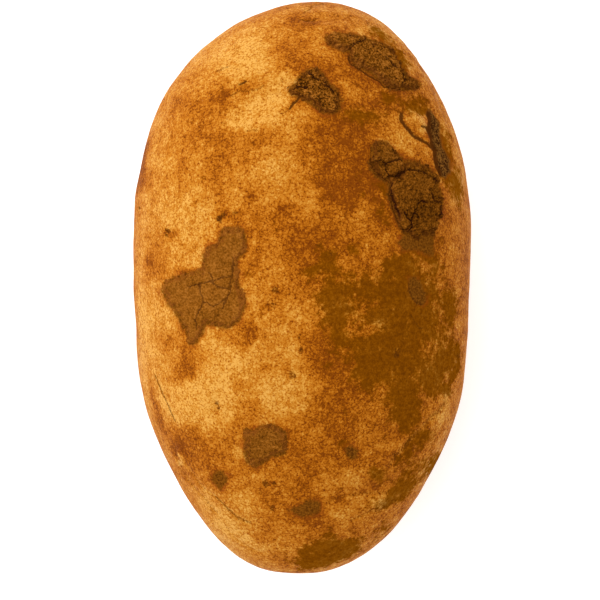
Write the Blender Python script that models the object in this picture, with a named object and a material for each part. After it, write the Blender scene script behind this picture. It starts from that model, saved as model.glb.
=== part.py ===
"""A long oval potato lying on its flattest side, with cakes of dried soil on its upper skin.

The crown, the broad end with most of the eyes, points along +Y and the heel, where the tuber hung
from its stolon, along -Y. The origin is on the surface it lies on, under the middle of its box.
"""

import math

import bmesh
import bpy
from mathutils import Vector, noise
from mathutils.bvhtree import BVHTree

MM = 0.001

# Body of the tuber
LENGTH = 120.0 * MM
WIDTH = 71.0 * MM
BELLY_TO_WIDEST = 29.0 * MM  # height of the widest outline above the rest face
BACK_RISE = 31.0 * MM  # from the widest outline up to the back
WIDEST_AT = 10.8 * MM  # along Y
CROWN_REACH = LENGTH / 2 - WIDEST_AT
SCAR_LOSS = 0.5 * MM  # the stolon scar takes this off the very tip of the heel
HEEL_REACH = LENGTH / 2 + WIDEST_AT + SCAR_LOSS
CROWN_FULLNESS = 2.05  # superellipse exponents: 2 is an ellipse, more is blunter
HEEL_FULLNESS = 2.17
BELLY_FULLNESS = 2.45
SHOULDER_AT = -24.9 * MM  # the heel half swells a little here before it tapers
SHOULDER_SPREAD = 14.3 * MM
SHOULDER_SWELL = 0.046
CROWN_LEAN = 2.9 * MM  # the two tips lean sideways
CROWN_LEAN_FROM = 38.0 * MM
HEEL_LEAN = -1.0 * MM
HEEL_LEAN_FROM = -45.0 * MM
CROWN_DROOP = -2.0 * MM  # and up or down
HEEL_DROOP = 1.5 * MM
PITCH = 0.02  # the body's axis rises this much for each unit of length towards the crown
LUMP_HEIGHT = 0.9 * MM
LUMP_SIZE = 26.0 * MM
REST_CUT = 0.8 * MM  # how much of the belly the flat rest face takes off
REST_BLEND = 0.2 * MM

# Eyes: along Y, turn round the body (90 is straight up), tilt of the long way from across towards
# the crown, half length, half breadth and depth
SEEN_EYES = (
    (37.6, 105, 20, 10.0, 3.6, 1.2),
    (30.5, 31, -62, 8.5, 2.6, 1.3),
    (-26.5, 44, 31, 9.0, 3.0, 0.8),
    (-42.3, 62, 8, 7.5, 2.2, 0.7),
    (-24.5, 121, 0, 2.0, 1.6, 0.5),
    (55.0, 80, 0, 4.0, 1.8, 0.6),
)
GOLDEN_ANGLE = 137.5  # each eye on a tuber sits about this far round from the last
HIDDEN_FIRST_TURN = 205.0
HIDDEN_ALONG = (51, 45, 38, 31, 22, 12, 1, -11, -24, -37, -48)
HIDDEN_TURNS = (185.0, 355.0)  # the belly and its sides, where the eyes follow the spiral
HIDDEN_HALF_LENGTH = 5.5
HIDDEN_HALF_BREADTH = 2.3
HIDDEN_DEPTH = 0.9
REST_KEEP_CLEAR = 17.0 * MM  # no eye this near the middle of the rest face
BROW_SHARE = 0.3  # height of the ridge on the heel side of an eye, against its depth
BROW_AT = -1.25  # in half breadths from the middle of the eye
BROW_HALF_BREADTH = 0.55
BROW_CURVE = 0.4  # the brow's ends bend back round the hollow
EYE_REACH = 3.0  # in half lengths, past which an eye leaves the skin as it is
STOLON_SCAR_RADIUS = 3.4 * MM
STOLON_SCAR_DEPTH = 1.1 * MM

# Fineness of the tuber's faces
BASE_LEVEL = 5
FINE_REACH = 1.2  # faces are cut finer round an eye, out to this many half lengths
FINE_CUTS = 2

# Cakes of dried soil: outlines in plan, in millimetres, and how thick they lie
SOIL_CAKES = {
    "soil_crown": (
        0.8,
        (
            (-2.4, 40.3), (-1.3, 42.6), (0.4, 43.5), (2.8, 44.0), (4.4, 42.5), (5.4, 40.9),
            (6.6, 39.1), (7.8, 36.9), (7.6, 34.9), (4.6, 34.6), (2.4, 36.1), (-0.2, 37.1),
            (-2.2, 38.9),
        ),
    ),
    "soil_shoulder": (
        0.8,
        (
            (5.0, 50.4), (6.2, 51.7), (8.5, 51.9), (12.2, 50.4), (16.0, 49.2), (18.7, 47.6),
            (20.9, 45.0), (22.7, 42.9), (23.8, 40.9), (20.3, 40.1), (17.1, 40.0), (15.6, 41.9),
            (13.0, 43.3), (10.8, 44.8), (9.3, 46.6), (7.9, 48.0), (5.7, 48.7),
        ),
    ),
    "soil_side_upper": (
        1.0,
        (
            (14.2, 27.7), (15.3, 28.9), (16.7, 28.9), (17.8, 28.1), (19.2, 26.7), (20.2, 25.5),
            (20.6, 24.4), (20.2, 23.0), (18.8, 22.2), (17.1, 22.2), (16.2, 21.6), (14.9, 22.1),
            (14.2, 23.5), (14.0, 25.3),
        ),
    ),
    "soil_side_lower": (
        1.1,
        (
            (17.7, 21.0), (19.6, 21.3), (21.4, 22.2), (23.7, 23.0), (25.3, 22.0), (26.7, 21.1),
            (28.4, 20.5), (28.5, 17.5), (27.9, 14.0), (27.0, 11.9), (25.8, 10.1), (22.3, 9.6),
            (20.1, 11.2), (18.8, 14.4), (17.9, 16.4), (17.4, 18.9),
        ),
    ),
    "soil_flank": (
        0.7,
        (
            (-27.3, -0.4), (-26.8, 0.9), (-24.4, 2.4), (-22.1, 3.0), (-19.4, 3.7), (-19.0, 8.0),
            (-17.3, 8.4), (-16.0, 11.1), (-13.4, 11.7), (-11.2, 10.2), (-11.2, 7.0),
            (-12.5, 5.4), (-13.0, 1.5), (-12.3, -0.6), (-11.6, -3.7), (-12.5, -5.6),
            (-14.2, -7.6), (-16.4, -7.8), (-19.0, -7.2), (-20.3, -8.9), (-21.2, -10.6),
            (-22.5, -8.9), (-23.4, -6.0), (-25.1, -4.3), (-26.4, -2.8),
        ),
    ),
    "soil_heel": (
        0.7,
        (
            (-11.6, -31.0), (-11.0, -28.8), (-8.6, -28.0), (-6.2, -27.8), (-3.8, -29.1),
            (-3.6, -31.8), (-5.1, -34.1), (-6.6, -35.8), (-9.0, -36.0), (-10.8, -35.4),
        ),
    ),
}
CAKE_SIDES = 40
CAKE_RINGS = 8
CAKE_CLEARANCE = 0.3 * MM  # between a cake's underside and the skin
CAKE_RIM_SHARE = 0.35  # thickness at the rim, against the middle
CAKE_ROUGH = 0.18
CAKE_GRAIN = 2.2 * MM
ABOVE_TUBER = 200 * MM
TINY = 0.001

SKIN_COLOUR = (0.56, 0.25, 0.05, 1.0)
SKIN_ROUGHNESS = 0.65
SOIL_COLOUR = (0.15, 0.065, 0.015, 1.0)
SOIL_ROUGHNESS = 0.9


def clear_scene():
    for obj in list(bpy.data.objects):
        bpy.data.objects.remove(obj)


def material(name, colour, roughness):
    made = bpy.data.materials.new(name)
    made.use_nodes = True
    shader = made.node_tree.nodes["Principled BSDF"]
    shader.inputs["Base Color"].default_value = colour
    shader.inputs["Roughness"].default_value = roughness
    shader.inputs["Metallic"].default_value = 0.0
    return made


def bell(distance):
    return math.exp(-distance * distance)


def power(value, exponent):
    """A number raised to a power with its sign kept."""
    return math.copysign(abs(value) ** exponent, value)


def lean(y, amount, start, tip):
    """Sideways shift of the body's axis, from nothing at start to the whole amount at the tip."""
    return amount * max(0.0, (y - start) / (tip - start)) ** 2


def body_point(direction):
    """The point of the plain body, with no eyes, that a direction from its middle leads to."""
    towards_crown = direction.y > 0
    reach = CROWN_REACH if towards_crown else HEEL_REACH
    fullness = CROWN_FULLNESS if towards_crown else HEEL_FULLNESS
    y = WIDEST_AT + reach * power(direction.y, 2 / fullness)
    girth = max(0.0, 1 - direction.y**2) ** (1 / fullness)
    swell = 1 + SHOULDER_SWELL * bell((y - SHOULDER_AT) / SHOULDER_SPREAD)
    around = math.atan2(direction.z, direction.x)
    axis_x = lean(y, CROWN_LEAN, CROWN_LEAN_FROM, LENGTH / 2)
    axis_x += lean(y, HEEL_LEAN, HEEL_LEAN_FROM, -LENGTH / 2)
    axis_z = BELLY_TO_WIDEST + PITCH * (y - WIDEST_AT)
    axis_z += lean(y, CROWN_DROOP, 0, LENGTH / 2) + lean(y, HEEL_DROOP, 0, -LENGTH / 2)
    x = axis_x + WIDTH / 2 * girth * swell * math.cos(around)
    if direction.z > 0:
        z = axis_z + BACK_RISE * girth * swell * math.sin(around)
    else:
        depth = BELLY_TO_WIDEST + REST_CUT
        z = axis_z + depth * girth * power(math.sin(around), 2 / BELLY_FULLNESS)
    return Vector((x, y, z))


def body_normal(point):
    """The outward direction at a point of the body, taken as an ellipsoid."""
    centre = Vector((0, 0, BELLY_TO_WIDEST))
    away = point - centre
    halves = (WIDTH / 2, LENGTH / 2, BACK_RISE)
    return Vector([a / half**2 for a, half in zip(away, halves)]).normalized()


def direction_at(along, turn):
    """The direction from the middle to the place that far along the body and turned that far round it."""
    offset = along - WIDEST_AT
    reach, fullness = (CROWN_REACH, CROWN_FULLNESS) if offset > 0 else (HEEL_REACH, HEEL_FULLNESS)
    rise = power(offset / reach, fullness / 2)
    across = math.sqrt(1 - rise * rise)
    return Vector((across * math.cos(turn), rise, across * math.sin(turn)))


class Eye:
    """A shallow hollow with a ridge, its brow, on the heel side."""

    def __init__(self, along, turn, tilt, half_length, half_breadth, depth):
        self.place = body_point(direction_at(along * MM, math.radians(turn)))
        outward = body_normal(self.place)
        across = Vector((0, 1, 0)).cross(outward).normalized()
        upward = outward.cross(across)
        lean_angle = math.radians(tilt)
        self.long_way = across * math.cos(lean_angle) + upward * math.sin(lean_angle)
        self.short_way = outward.cross(self.long_way)
        self.half_length = half_length * MM
        self.half_breadth = half_breadth * MM
        self.depth = depth * MM

    def relief(self, point):
        """How far the eye raises the skin at a point, below nothing where it lowers it."""
        away = point - self.place
        if away.length > EYE_REACH * self.half_length:
            return 0.0
        u = away.dot(self.long_way) / self.half_length
        v = away.dot(self.short_way) / self.half_breadth
        brow = (v - BROW_AT - BROW_CURVE * u * u) / BROW_HALF_BREADTH
        return self.depth * (BROW_SHARE * bell(brow) * bell(u) - bell(v) * bell(u))


def all_eyes():
    eyes = [Eye(*numbers) for numbers in SEEN_EYES]
    for count, along in enumerate(HIDDEN_ALONG):
        turn = (HIDDEN_FIRST_TURN + GOLDEN_ANGLE * count) % 360
        if not HIDDEN_TURNS[0] < turn < HIDDEN_TURNS[1]:
            continue
        eye = Eye(along, turn, 0, HIDDEN_HALF_LENGTH, HIDDEN_HALF_BREADTH, HIDDEN_DEPTH)
        if eye.place.length > REST_KEEP_CLEAR:
            eyes.append(eye)
    return eyes


def lumps(direction, point):
    """Slow swellings of the back, which fade out at the widest outline."""
    share = max(0.0, direction.z) ** 0.5
    return LUMP_HEIGHT * share * noise.noise(point / LUMP_SIZE)


def stolon_scar(point):
    """The small round pit at the tip of the heel."""
    tip = body_point(Vector((0, -1, 0)))
    return -STOLON_SCAR_DEPTH * bell((point - tip).length / STOLON_SCAR_RADIUS)


def flatten(z):
    """Cuts the belly off level with the rest face, with a soft edge."""
    if z >= REST_BLEND:
        return z
    if z <= -REST_BLEND:
        return 0.0
    return (z + REST_BLEND) ** 2 / (4 * REST_BLEND)


def skin_point(direction, eyes):
    """The point of the finished skin that a direction from the middle leads to."""
    point = body_point(direction)
    relief = lumps(direction, point) + stolon_scar(point) + sum(eye.relief(point) for eye in eyes)
    point += body_normal(point) * relief
    point.z = flatten(point.z)
    return point


def refine_near_eyes(ball, eyes):
    """Cuts the ball finer wherever its faces will lie near an eye."""

    def near_an_eye(edge):
        middle = body_point(((edge.verts[0].co + edge.verts[1].co) / 2).normalized())
        return any((middle - eye.place).length < FINE_REACH * eye.half_length for eye in eyes)

    edges = [edge for edge in ball.edges if near_an_eye(edge)]
    bmesh.ops.subdivide_edges(ball, edges=edges, cuts=FINE_CUTS, use_grid_fill=True)
    bmesh.ops.triangulate(ball, faces=ball.faces)
    for vertex in ball.verts:
        vertex.co.normalize()


def make_object(name, shape, finish, collection):
    mesh = bpy.data.meshes.new(name)
    shape.to_mesh(mesh)
    shape.free()
    mesh.shade_smooth()
    mesh.materials.append(finish)
    obj = bpy.data.objects.new(name, mesh)
    collection.objects.link(obj)
    return obj


def make_tuber(finish, collection):
    """The whole tuber: a ball drawn out to the body, with its eyes and its stolon scar."""
    eyes = all_eyes()
    ball = bmesh.new()
    bmesh.ops.create_icosphere(ball, subdivisions=BASE_LEVEL, radius=1)
    refine_near_eyes(ball, eyes)
    for vertex in ball.verts:
        vertex.co = skin_point(vertex.co, eyes)
    return make_object("tuber", ball, finish, collection)


def reach_of_outline(outline, centre, angle):
    """Distance from a cake's centre to its outline in one direction."""
    polar = sorted((math.atan2(p.y - centre.y, p.x - centre.x), (p - centre).length) for p in outline)
    polar = [(polar[-1][0] - math.tau, polar[-1][1])] + polar + [(polar[0][0] + math.tau, polar[0][1])]
    for (start, near), (end, far) in zip(polar, polar[1:]):
        if start <= angle <= end:
            return near + (far - near) * (angle - start) / (end - start)
    return polar[0][1]


def make_cake(name, thickness, outline, skin, finish, collection):
    """A cake of dried soil: a ball pressed flat on the skin and drawn out to its outline."""
    outline = [Vector(point) * MM for point in outline]
    centre = sum(outline, Vector((0, 0))) / len(outline)
    ball = bmesh.new()
    bmesh.ops.create_uvsphere(ball, u_segments=CAKE_SIDES, v_segments=CAKE_RINGS, radius=1)
    for vertex in ball.verts:
        reach = min(1.0, vertex.co.xy.length)
        angle = math.atan2(vertex.co.y, vertex.co.x)
        reach_there = reach_of_outline(outline, centre, angle)
        spot = centre + Vector((math.cos(angle), math.sin(angle))) * reach * reach_there
        foot, outward, _, _ = skin.ray_cast(Vector((spot.x, spot.y, ABOVE_TUBER)), Vector((0, 0, -1)))
        lift = CAKE_CLEARANCE
        if vertex.co.z > -TINY:
            dome = CAKE_RIM_SHARE + (1 - CAKE_RIM_SHARE) * math.sqrt(max(0.0, 1 - reach**2))
            lift += thickness * MM * dome * (1 + CAKE_ROUGH * noise.noise(foot / CAKE_GRAIN))
        vertex.co = foot + outward * lift
    return make_object(name, ball, finish, collection)


def main():
    clear_scene()
    potato = bpy.data.collections.new("potato")
    bpy.context.scene.collection.children.link(potato)
    skin_finish = material("skin", SKIN_COLOUR, SKIN_ROUGHNESS)
    soil_finish = material("dried_soil", SOIL_COLOUR, SOIL_ROUGHNESS)
    tuber = make_tuber(skin_finish, potato)
    bpy.context.view_layer.update()
    skin = BVHTree.FromObject(tuber, bpy.context.evaluated_depsgraph_get())
    for name, (thickness, outline) in SOIL_CAKES.items():
        make_cake(name, thickness, outline, skin, soil_finish, potato)


main()
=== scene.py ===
import math

import bmesh
import bpy
import numpy as np
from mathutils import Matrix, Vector, noise
from mathutils.bvhtree import BVHTree


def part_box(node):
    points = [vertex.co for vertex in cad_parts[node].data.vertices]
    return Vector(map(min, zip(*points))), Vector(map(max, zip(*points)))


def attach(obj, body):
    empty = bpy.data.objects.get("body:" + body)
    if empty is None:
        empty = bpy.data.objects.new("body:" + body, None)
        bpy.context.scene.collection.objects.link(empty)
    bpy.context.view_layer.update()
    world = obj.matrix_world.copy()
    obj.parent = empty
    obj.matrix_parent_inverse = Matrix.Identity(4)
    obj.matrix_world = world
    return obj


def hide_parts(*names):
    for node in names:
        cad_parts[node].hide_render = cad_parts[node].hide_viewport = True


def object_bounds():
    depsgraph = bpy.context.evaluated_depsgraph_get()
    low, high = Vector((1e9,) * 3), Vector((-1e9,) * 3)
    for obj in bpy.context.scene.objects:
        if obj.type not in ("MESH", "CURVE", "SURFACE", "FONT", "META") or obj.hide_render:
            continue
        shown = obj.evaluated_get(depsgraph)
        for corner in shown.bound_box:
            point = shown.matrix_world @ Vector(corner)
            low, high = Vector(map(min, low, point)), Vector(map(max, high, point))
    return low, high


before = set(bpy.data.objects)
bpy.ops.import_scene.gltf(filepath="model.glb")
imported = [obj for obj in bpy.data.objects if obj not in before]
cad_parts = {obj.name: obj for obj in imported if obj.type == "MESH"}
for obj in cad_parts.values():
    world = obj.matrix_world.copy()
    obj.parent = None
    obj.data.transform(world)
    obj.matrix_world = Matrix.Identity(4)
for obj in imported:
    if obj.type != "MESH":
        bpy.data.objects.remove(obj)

cad_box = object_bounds()

# The view
# The potato is seen from straight above, at about arm's length, with its crown to the top. The
# marks on its skin and the soil on it are placed by where they are seen, so the view comes first.
MM = 0.001
WIDEST_LEVEL = 30 * MM
EYE_ABOVE = 525 * MM
PICTURE_WIDTH = 126 * MM
VIEW_MIDDLE = np.array((-0.4, -2.8)) * MM

camera = bpy.data.objects.new("camera", bpy.data.cameras.new("camera"))
camera.location = (*VIEW_MIDDLE, WIDEST_LEVEL + EYE_ABOVE)
camera.data.lens = camera.data.sensor_width * EYE_ABOVE / PICTURE_WIDTH
bpy.context.scene.collection.objects.link(camera)
bpy.context.scene.camera = camera


def as_seen(points):
    """Where points appear in the view: millimetres across and along from its middle."""
    nearer = EYE_ABOVE / (EYE_ABOVE + WIDEST_LEVEL - points[:, 2:])
    return (points[:, :2] - VIEW_MIDDLE) * nearer / MM


def under_view(surface, across, along):
    """The point of a surface seen at a place in the view, or else nearest to it, and its outward way."""
    eye = camera.location
    spot = Vector((*(VIEW_MIDDLE + np.array((across, along)) * MM), WIDEST_LEVEL))
    point, outward, _, _ = surface.ray_cast(eye, (spot - eye).normalized())
    if point is None:
        point, outward, _, _ = surface.find_nearest(spot)
    return np.array(point), np.array(outward)


# The skin of the tuber
# One grown body with a thin golden skin. Russet cork has grown over the skin in a fine net, is
# rubbed off in places and stained by soil in others. It is drawn over the solid as a net of squares.
NET_CUTS = 91
EVENING_SHARE = 0.5
EVENING_PASSES = 25
HOLLOW_PASSES = 250
MIDDLE = Vector((0, 0, WIDEST_LEVEL))


def places(mesh):
    found = np.empty(len(mesh.vertices) * 3)
    mesh.vertices.foreach_get("co", found)
    return found.reshape(-1, 3)


def outward_ways(mesh):
    found = np.empty(len(mesh.vertices) * 3)
    mesh.vertex_normals.foreach_get("vector", found)
    return found.reshape(-1, 3)


def move_to(mesh, points):
    mesh.vertices.foreach_set("co", points.ravel())
    mesh.update()


def surface_of(piece):
    return BVHTree.FromObject(piece, bpy.context.evaluated_depsgraph_get())


def bell(distance):
    return np.exp(-distance * distance)


def soft_step(values, low, high):
    """Nothing below low and one above high, with a smooth rise between."""
    share = np.clip((values - low) / (high - low), 0, 1)
    return share * share * (3 - 2 * share)


def cloud(points, size, seed=0):
    """Smooth noise, from about -1 to 1, with waves of a size in millimetres."""
    return np.array([noise.noise(Vector(point)) for point in points / (size * MM) + seed])


def distance_to_line(seen, line):
    """Distance of seen points from a line of straight runs, in millimetres."""
    nearest = np.full(len(seen), np.inf)
    for start, end in zip(np.array(line[:-1], float), np.array(line[1:], float)):
        run = end - start
        share = np.clip((seen - start) @ run / (run @ run), 0, 1)
        nearest = np.minimum(nearest, np.linalg.norm(seen - start - share[:, None] * run, axis=1))
    return nearest


def depth_inside(seen, outline):
    """How far seen points lie inside an outline, in millimetres, and below nothing outside it."""
    closed = [*outline, outline[0]]
    inside = np.zeros(len(seen), bool)
    for (x0, y0), (x1, y1) in zip(closed[:-1], closed[1:]):
        spans = (y0 > seen[:, 1]) != (y1 > seen[:, 1])
        crossing = x0 + (seen[:, 1] - y0) / ((y1 - y0) or 1) * (x1 - x0)
        inside ^= spans & (seen[:, 0] < crossing)
    nearest = distance_to_line(seen, closed)
    return np.where(inside, nearest, -nearest)


def keep(mesh, name, values):
    """Keeps a value for each point of a mesh, for its material to read."""
    mesh.attributes.new(name, "FLOAT", "POINT").data.foreach_set("value", values.astype(np.float32))


net = bmesh.new()
bmesh.ops.create_cube(net, size=2)
bmesh.ops.subdivide_edges(net, edges=net.edges, cuts=NET_CUTS, use_grid_fill=True)
skin = bpy.data.objects.new("skin", bpy.data.meshes.new("skin"))
net.to_mesh(skin.data)
net.free()
bpy.context.scene.collection.objects.link(skin)

half_box = np.array(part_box("tuber")[1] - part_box("tuber")[0]) / 2
ways = np.tan(places(skin.data) * math.pi / 4)
ways = ways / np.linalg.norm(ways, axis=1)[:, None] * half_box
solid = surface_of(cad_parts["tuber"])
move_to(skin.data, np.array([solid.ray_cast(MIDDLE, Vector(way).normalized())[0] for way in ways]))
evening = skin.modifiers.new("evening", "SMOOTH")
evening.factor = EVENING_SHARE


def evened(passes):
    """The skin's mesh after a number of passes that smooth it."""
    evening.iterations = passes
    return bpy.data.meshes.new_from_object(skin.evaluated_get(bpy.context.evaluated_depsgraph_get()))


# A few passes take the solid's facets away, and many the eyes too, which tells where the eyes are
even_skin, eyeless_skin = evened(EVENING_PASSES), evened(HOLLOW_PASSES)
skin.modifiers.clear()
skin.data = even_skin
hollow = np.sum((places(eyeless_skin) - places(even_skin)) * outward_ways(even_skin), axis=1) / MM
keep(skin.data, "hollow", hollow)

# Folds and scratches: depth, half width and darkness, then the line across and along the view. A fold's
# darkness is painted shade; a scratch's is its own brown.
FOLDS = (
    (0.04, 0.2, 0.6, ((-30.5, -15.8), (-28, -21), (-26.4, -25.2))),
    (0.18, 0.42, 1, ((21.4, 39.3), (21.2, 37.8), (22.3, 36.1), (23.9, 34.4), (25.6, 33.4))),
    (0.15, 0.36, 0.9, ((25.6, 33.4), (27.7, 31.9), (29, 31.4))),
    (0.2, 0.5, 1, ((26.8, 38.8), (26.5, 36), (27.6, 33.4), (28.5, 31.1), (28.6, 28.6), (29.4, 26.4))),
    (0.08, 0.25, 0.8, ((25.2, 36.5), (26.3, 35.9), (27.3, 36.5))),
    (0.15, 0.22, 0.8, ((10, 51.6), (10.5, 49.8), (12.6, 48.3), (14.7, 47), (16.8, 45.8), (17.9, 44.4))),
    (0.15, 0.22, 0.7, ((17.9, 44.4), (21.8, 44.2), (24.8, 44.8))),
    (0.15, 0.22, 0.7, ((15, 32), (14.9, 29.4), (16, 27.3), (18.1, 25.5))),
    (0.15, 0.22, 0.7, ((18.7, 24), (19, 21), (19.6, 18.5), (20.5, 16.2), (21.9, 14.2))),
    (0.15, 0.7, 0.4, ((30.5, -21.5), (27, -25.1), (24.4, -28), (22.3, -30.5), (18.8, -34.7))),
    (0.14, 0.6, 0.35, ((6, -42.2), (9, -41.3), (13, -40.6), (18, -40.3))),
    (0.12, 0.5, 0.35, ((11, -46.2), (14.5, -44.6), (18, -43.2), (20, -42))),
    (0.08, 0.35, 0.5, ((-18.1, -41.2), (-15.5, -43.3), (-12.6, -45.8), (-10.5, -47))),
    (0.12, 0.4, 0.3, ((-24.2, -33.6), (-22.4, -36.4), (-20.4, -39), (-18.1, -41.2))),
    (0.12, 0.4, 0.3, ((-26.3, -31), (-24.6, -35.6), (-21.8, -39.9), (-17.6, -44.9))),
    (0.12, 0.4, 0.2, ((-16, -47.8), (-12, -51), (-7.5, -53.4))),
    (0.12, 0.4, 0.2, ((22.5, 53.4), (25.6, 48.8), (28, 44.6), (29.6, 40.4))),
    (0.12, 0.4, 0.2, ((24.8, 50.2), (27.2, 46.4), (29, 42.6), (31, 37.4))),
    (0.1, 0.34, 1, ((-2.2, 40.4), (-1.6, 41.2), (-1, 41.7), (-0.2, 42.9))),
    (0.06, 0.3, 0.7, ((-12.9, 45.1), (-11.2, 46))),
    (0.1, 0.5, 0.3, ((28.6, -26.5), (26, -29), (24, -32))),
    (0.06, 0.35, 0.45, ((-14.7, 42.8), (-12.6, 43.8), (-9.5, 44.1), (-7.4, 44.9))),
    (0.05, 0.3, 0.4, ((-17.6, 47.8), (-15.2, 49))),
    (0.05, 0.25, 0.45, ((-11.3, 35.4), (-9.8, 35.9), (-8.4, 35.6))),
    (0.05, 0.22, 0.4, ((-4.7, 39.4), (-3.4, 39.6), (-2.2, 40.4))),
    (0.1, 0.2, 0.6, ((22.9, 3.4), (23.2, 1.4), (23.9, 0), (25, -1.1), (26, -1.2))),
    (0.1, 0.2, 0.5, ((23.7, -3.2), (24.4, -4.8), (25.2, -6.1), (26.3, -5.8))),
    (0.15, 0.4, 0.4, ((1, 60.5), (2.5, 61.5), (5, 62.2))),
    (0.15, 0.4, 0.5, ((0, 59), (1.5, 58.6), (3.2, 59))),
)
# Pits and bumps: across, along, half length, half breadth, turn, height
DIMPLES = (
    (-17.6, -22.3, 1.3, 0.8, -60, -0.35), (-25, -33.8, 1.3, 0.9, -35, 0.3), (-9, 39, 7, 3, 20, -0.3),
    (25.5, 37.5, 3.2, 1.2, -35, 0.5), (27, 33.5, 1, 2, 0, 0.3), (30.5, 28.5, 1.2, 2.2, 0, 0.4),
    (17.5, -41.8, 2, 0.9, 20, 0.35), (12.2, -41.5, 1.4, 0.9, 0, 0.3), (-12, 44.5, 5, 1.2, 25, -0.25),
)
# Outline of the strip of crumbs caught in the deepest fold
CRUMBS = (
    (26.2, 38.6), (27.2, 39.6), (28.4, 38), (29.2, 36.6), (29.2, 35), (29.6, 33.2), (30.6, 31),
    (31.3, 29.2), (31.5, 27), (30.8, 25.6), (29.4, 26), (28.5, 28.4), (28.5, 31), (27.5, 33.4),
    (26.4, 35.4), (26.5, 37.4),
)
CRUMB_EDGE = 0.3
CRUMB_SIZES = ((1.3, 0.3), (0.6, 0.22))
# How much painted light the higher crumbs get, and painted shade the lower ones
CRUMB_PAINTED_LIGHT = 0.5
# Small dark scars and lenticels: across, along, radius, darkness
SPOTS = (
    (-27.7, 14.4, 0.7, 0.6), (-27.9, 13.3, 0.5, 0.52), (-5.2, 2.1, 0.8, 0.52), (-6.4, -0.3, 0.9, 0.26),
    (-5.6, -0.9, 0.6, 0.45), (-0.5, -7.9, 0.4, 0.75), (0.2, -10.5, 0.6, 0.52),
    (-1.4, -16.2, 0.85, 0.49), (-17.7, -21.8, 0.6, 0.52), (-17.2, -22.7, 0.5, 0.52),
    (-16.9, 17.2, 0.8, 0.68), (-16.1, 17.9, 0.6, 0.6), (-13.9, 18.5, 0.6, 0.52),
    (-34, 19.3, 0.35, 0.68), (-7.4, -38.8, 0.9, 0.52), (-5.3, -38.8, 0.6, 0.52),
    (-5.9, -43.7, 0.6, 0.52), (-8.4, -40.7, 0.5, 0.38), (10.8, -31.4, 0.8, 0.45),
    (20.5, -11.4, 0.7, 0.52), (33.1, -11.7, 0.6, 0.45), (8.9, 41.8, 0.5, 0.6), (20.6, -10.9, 1.3, 0.3),
    (4, 11.5, 0.6, 0.38), (6.5, 9.5, 0.7, 0.38),
)
SPOT_EDGE = (-0.2, 0.3)
SPOT_DEPTH = 0.08
# Eyes on the sides that the view doesn't show: how far along the tuber, and how far round it
HIDDEN_EYES = ((51, 205), (45, 342.5), (31, 257.5), (1, 310), (-24, 225))
EYE_FOUND_WITHIN = 5 * MM
# An eye's hollow is darkened with painted shade, laid in as cork, and the darkness under its brow is painted
# shade
EYE_HALF_LENGTH, EYE_HALF_BREADTH, EYE_THICKNESS, EYE_HOLLOW_SHADE = 5, 2.2, 6, 0.4
BROW_BELOW, BROW_BEND, BROW_HALF_WIDTH, BROW_DEPTH, BROW_SHADOW_DARKNESS = 1.7, 0.05, 0.75, 0.25, 0.8
BUD_RADIUS, BUD_DEPTH, BUD_DARKNESS = 1.1, 0.2, 0.6
# Low waves all over: length and height
SLOW_WAVES = ((9, 0.22), (3.6, 0.07), (1.7, 0.03))
# Levels between which the marks that the view shows fade out, and how far off they are below
UPPER_SIDE = (22 * MM, 30 * MM)
OFF_BELOW = 3

# Squares a quarter as wide along folds, scars and crumbs, so that these show as shapes
FINE_CUTS = 3
FINE_MARGIN = 0.6
seen = as_seen(places(skin.data))
off_fold = np.min([distance_to_line(seen, line) - half_width for _, half_width, _, line in FOLDS], axis=0)
off_spot = np.min([
    np.linalg.norm(seen - (across, along), axis=1) - radius for across, along, radius, _ in SPOTS
], axis=0)
fine_here = (off_fold < FINE_MARGIN) | (off_spot < FINE_MARGIN) | (depth_inside(seen, CRUMBS) > -FINE_MARGIN)
fine_here &= places(skin.data)[:, 2] > UPPER_SIDE[0]
net = bmesh.new()
net.from_mesh(skin.data)
fine_faces = {face for face in net.faces if all(fine_here[vert.index] for vert in face.verts)}
fine_edges = [edge for edge in net.edges if fine_faces.intersection(edge.link_faces)]
bmesh.ops.subdivide_edges(net, edges=fine_edges, cuts=FINE_CUTS, use_grid_fill=True)
net.to_mesh(skin.data)
net.free()
skin.data.shade_smooth()

points = places(skin.data)
outward = outward_ways(skin.data)
smooth_skin = surface_of(skin)
seen = as_seen(points)
hollow = np.empty(len(points))
skin.data.attributes["hollow"].data.foreach_get("value", hollow)
upper = soft_step(points[:, 2], *UPPER_SIDE)
# Edges wander by noise: the length of its waves, and how far they carry an edge. Lines and films
# wander by a share of that only.
WANDER = ((6, 1.5), (3, 1), (1.5, 0.6))
LINE_WANDER, FILM_WANDER = 0.3, 0.2
BLOT_REACH = 8
wander = np.stack([sum(cloud(points, size, seed) * far for size, far in WANDER) for seed in (11, 23, 37)], 1)
wandered = points + wander * MM


def blots(marks):
    """The sum of soft oval blots with ragged edges, each placed by where it is seen."""
    total = np.zeros(len(wandered))
    for across, along, half_length, half_breadth, turn, strength in marks:
        middle, out = under_view(smooth_skin, across, along)
        away = (wandered - middle) / MM
        height = away @ out
        flat = away[:, :2] - height[:, None] * out[:2]
        cos, sin = math.cos(math.radians(turn)), math.sin(math.radians(turn))
        along_share = (flat[:, 0] * cos + flat[:, 1] * sin) / half_length
        across_share = (flat[:, 1] * cos - flat[:, 0] * sin) / half_breadth
        total += strength * bell(along_share) * bell(across_share) * bell(height / BLOT_REACH)
    return total


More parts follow.
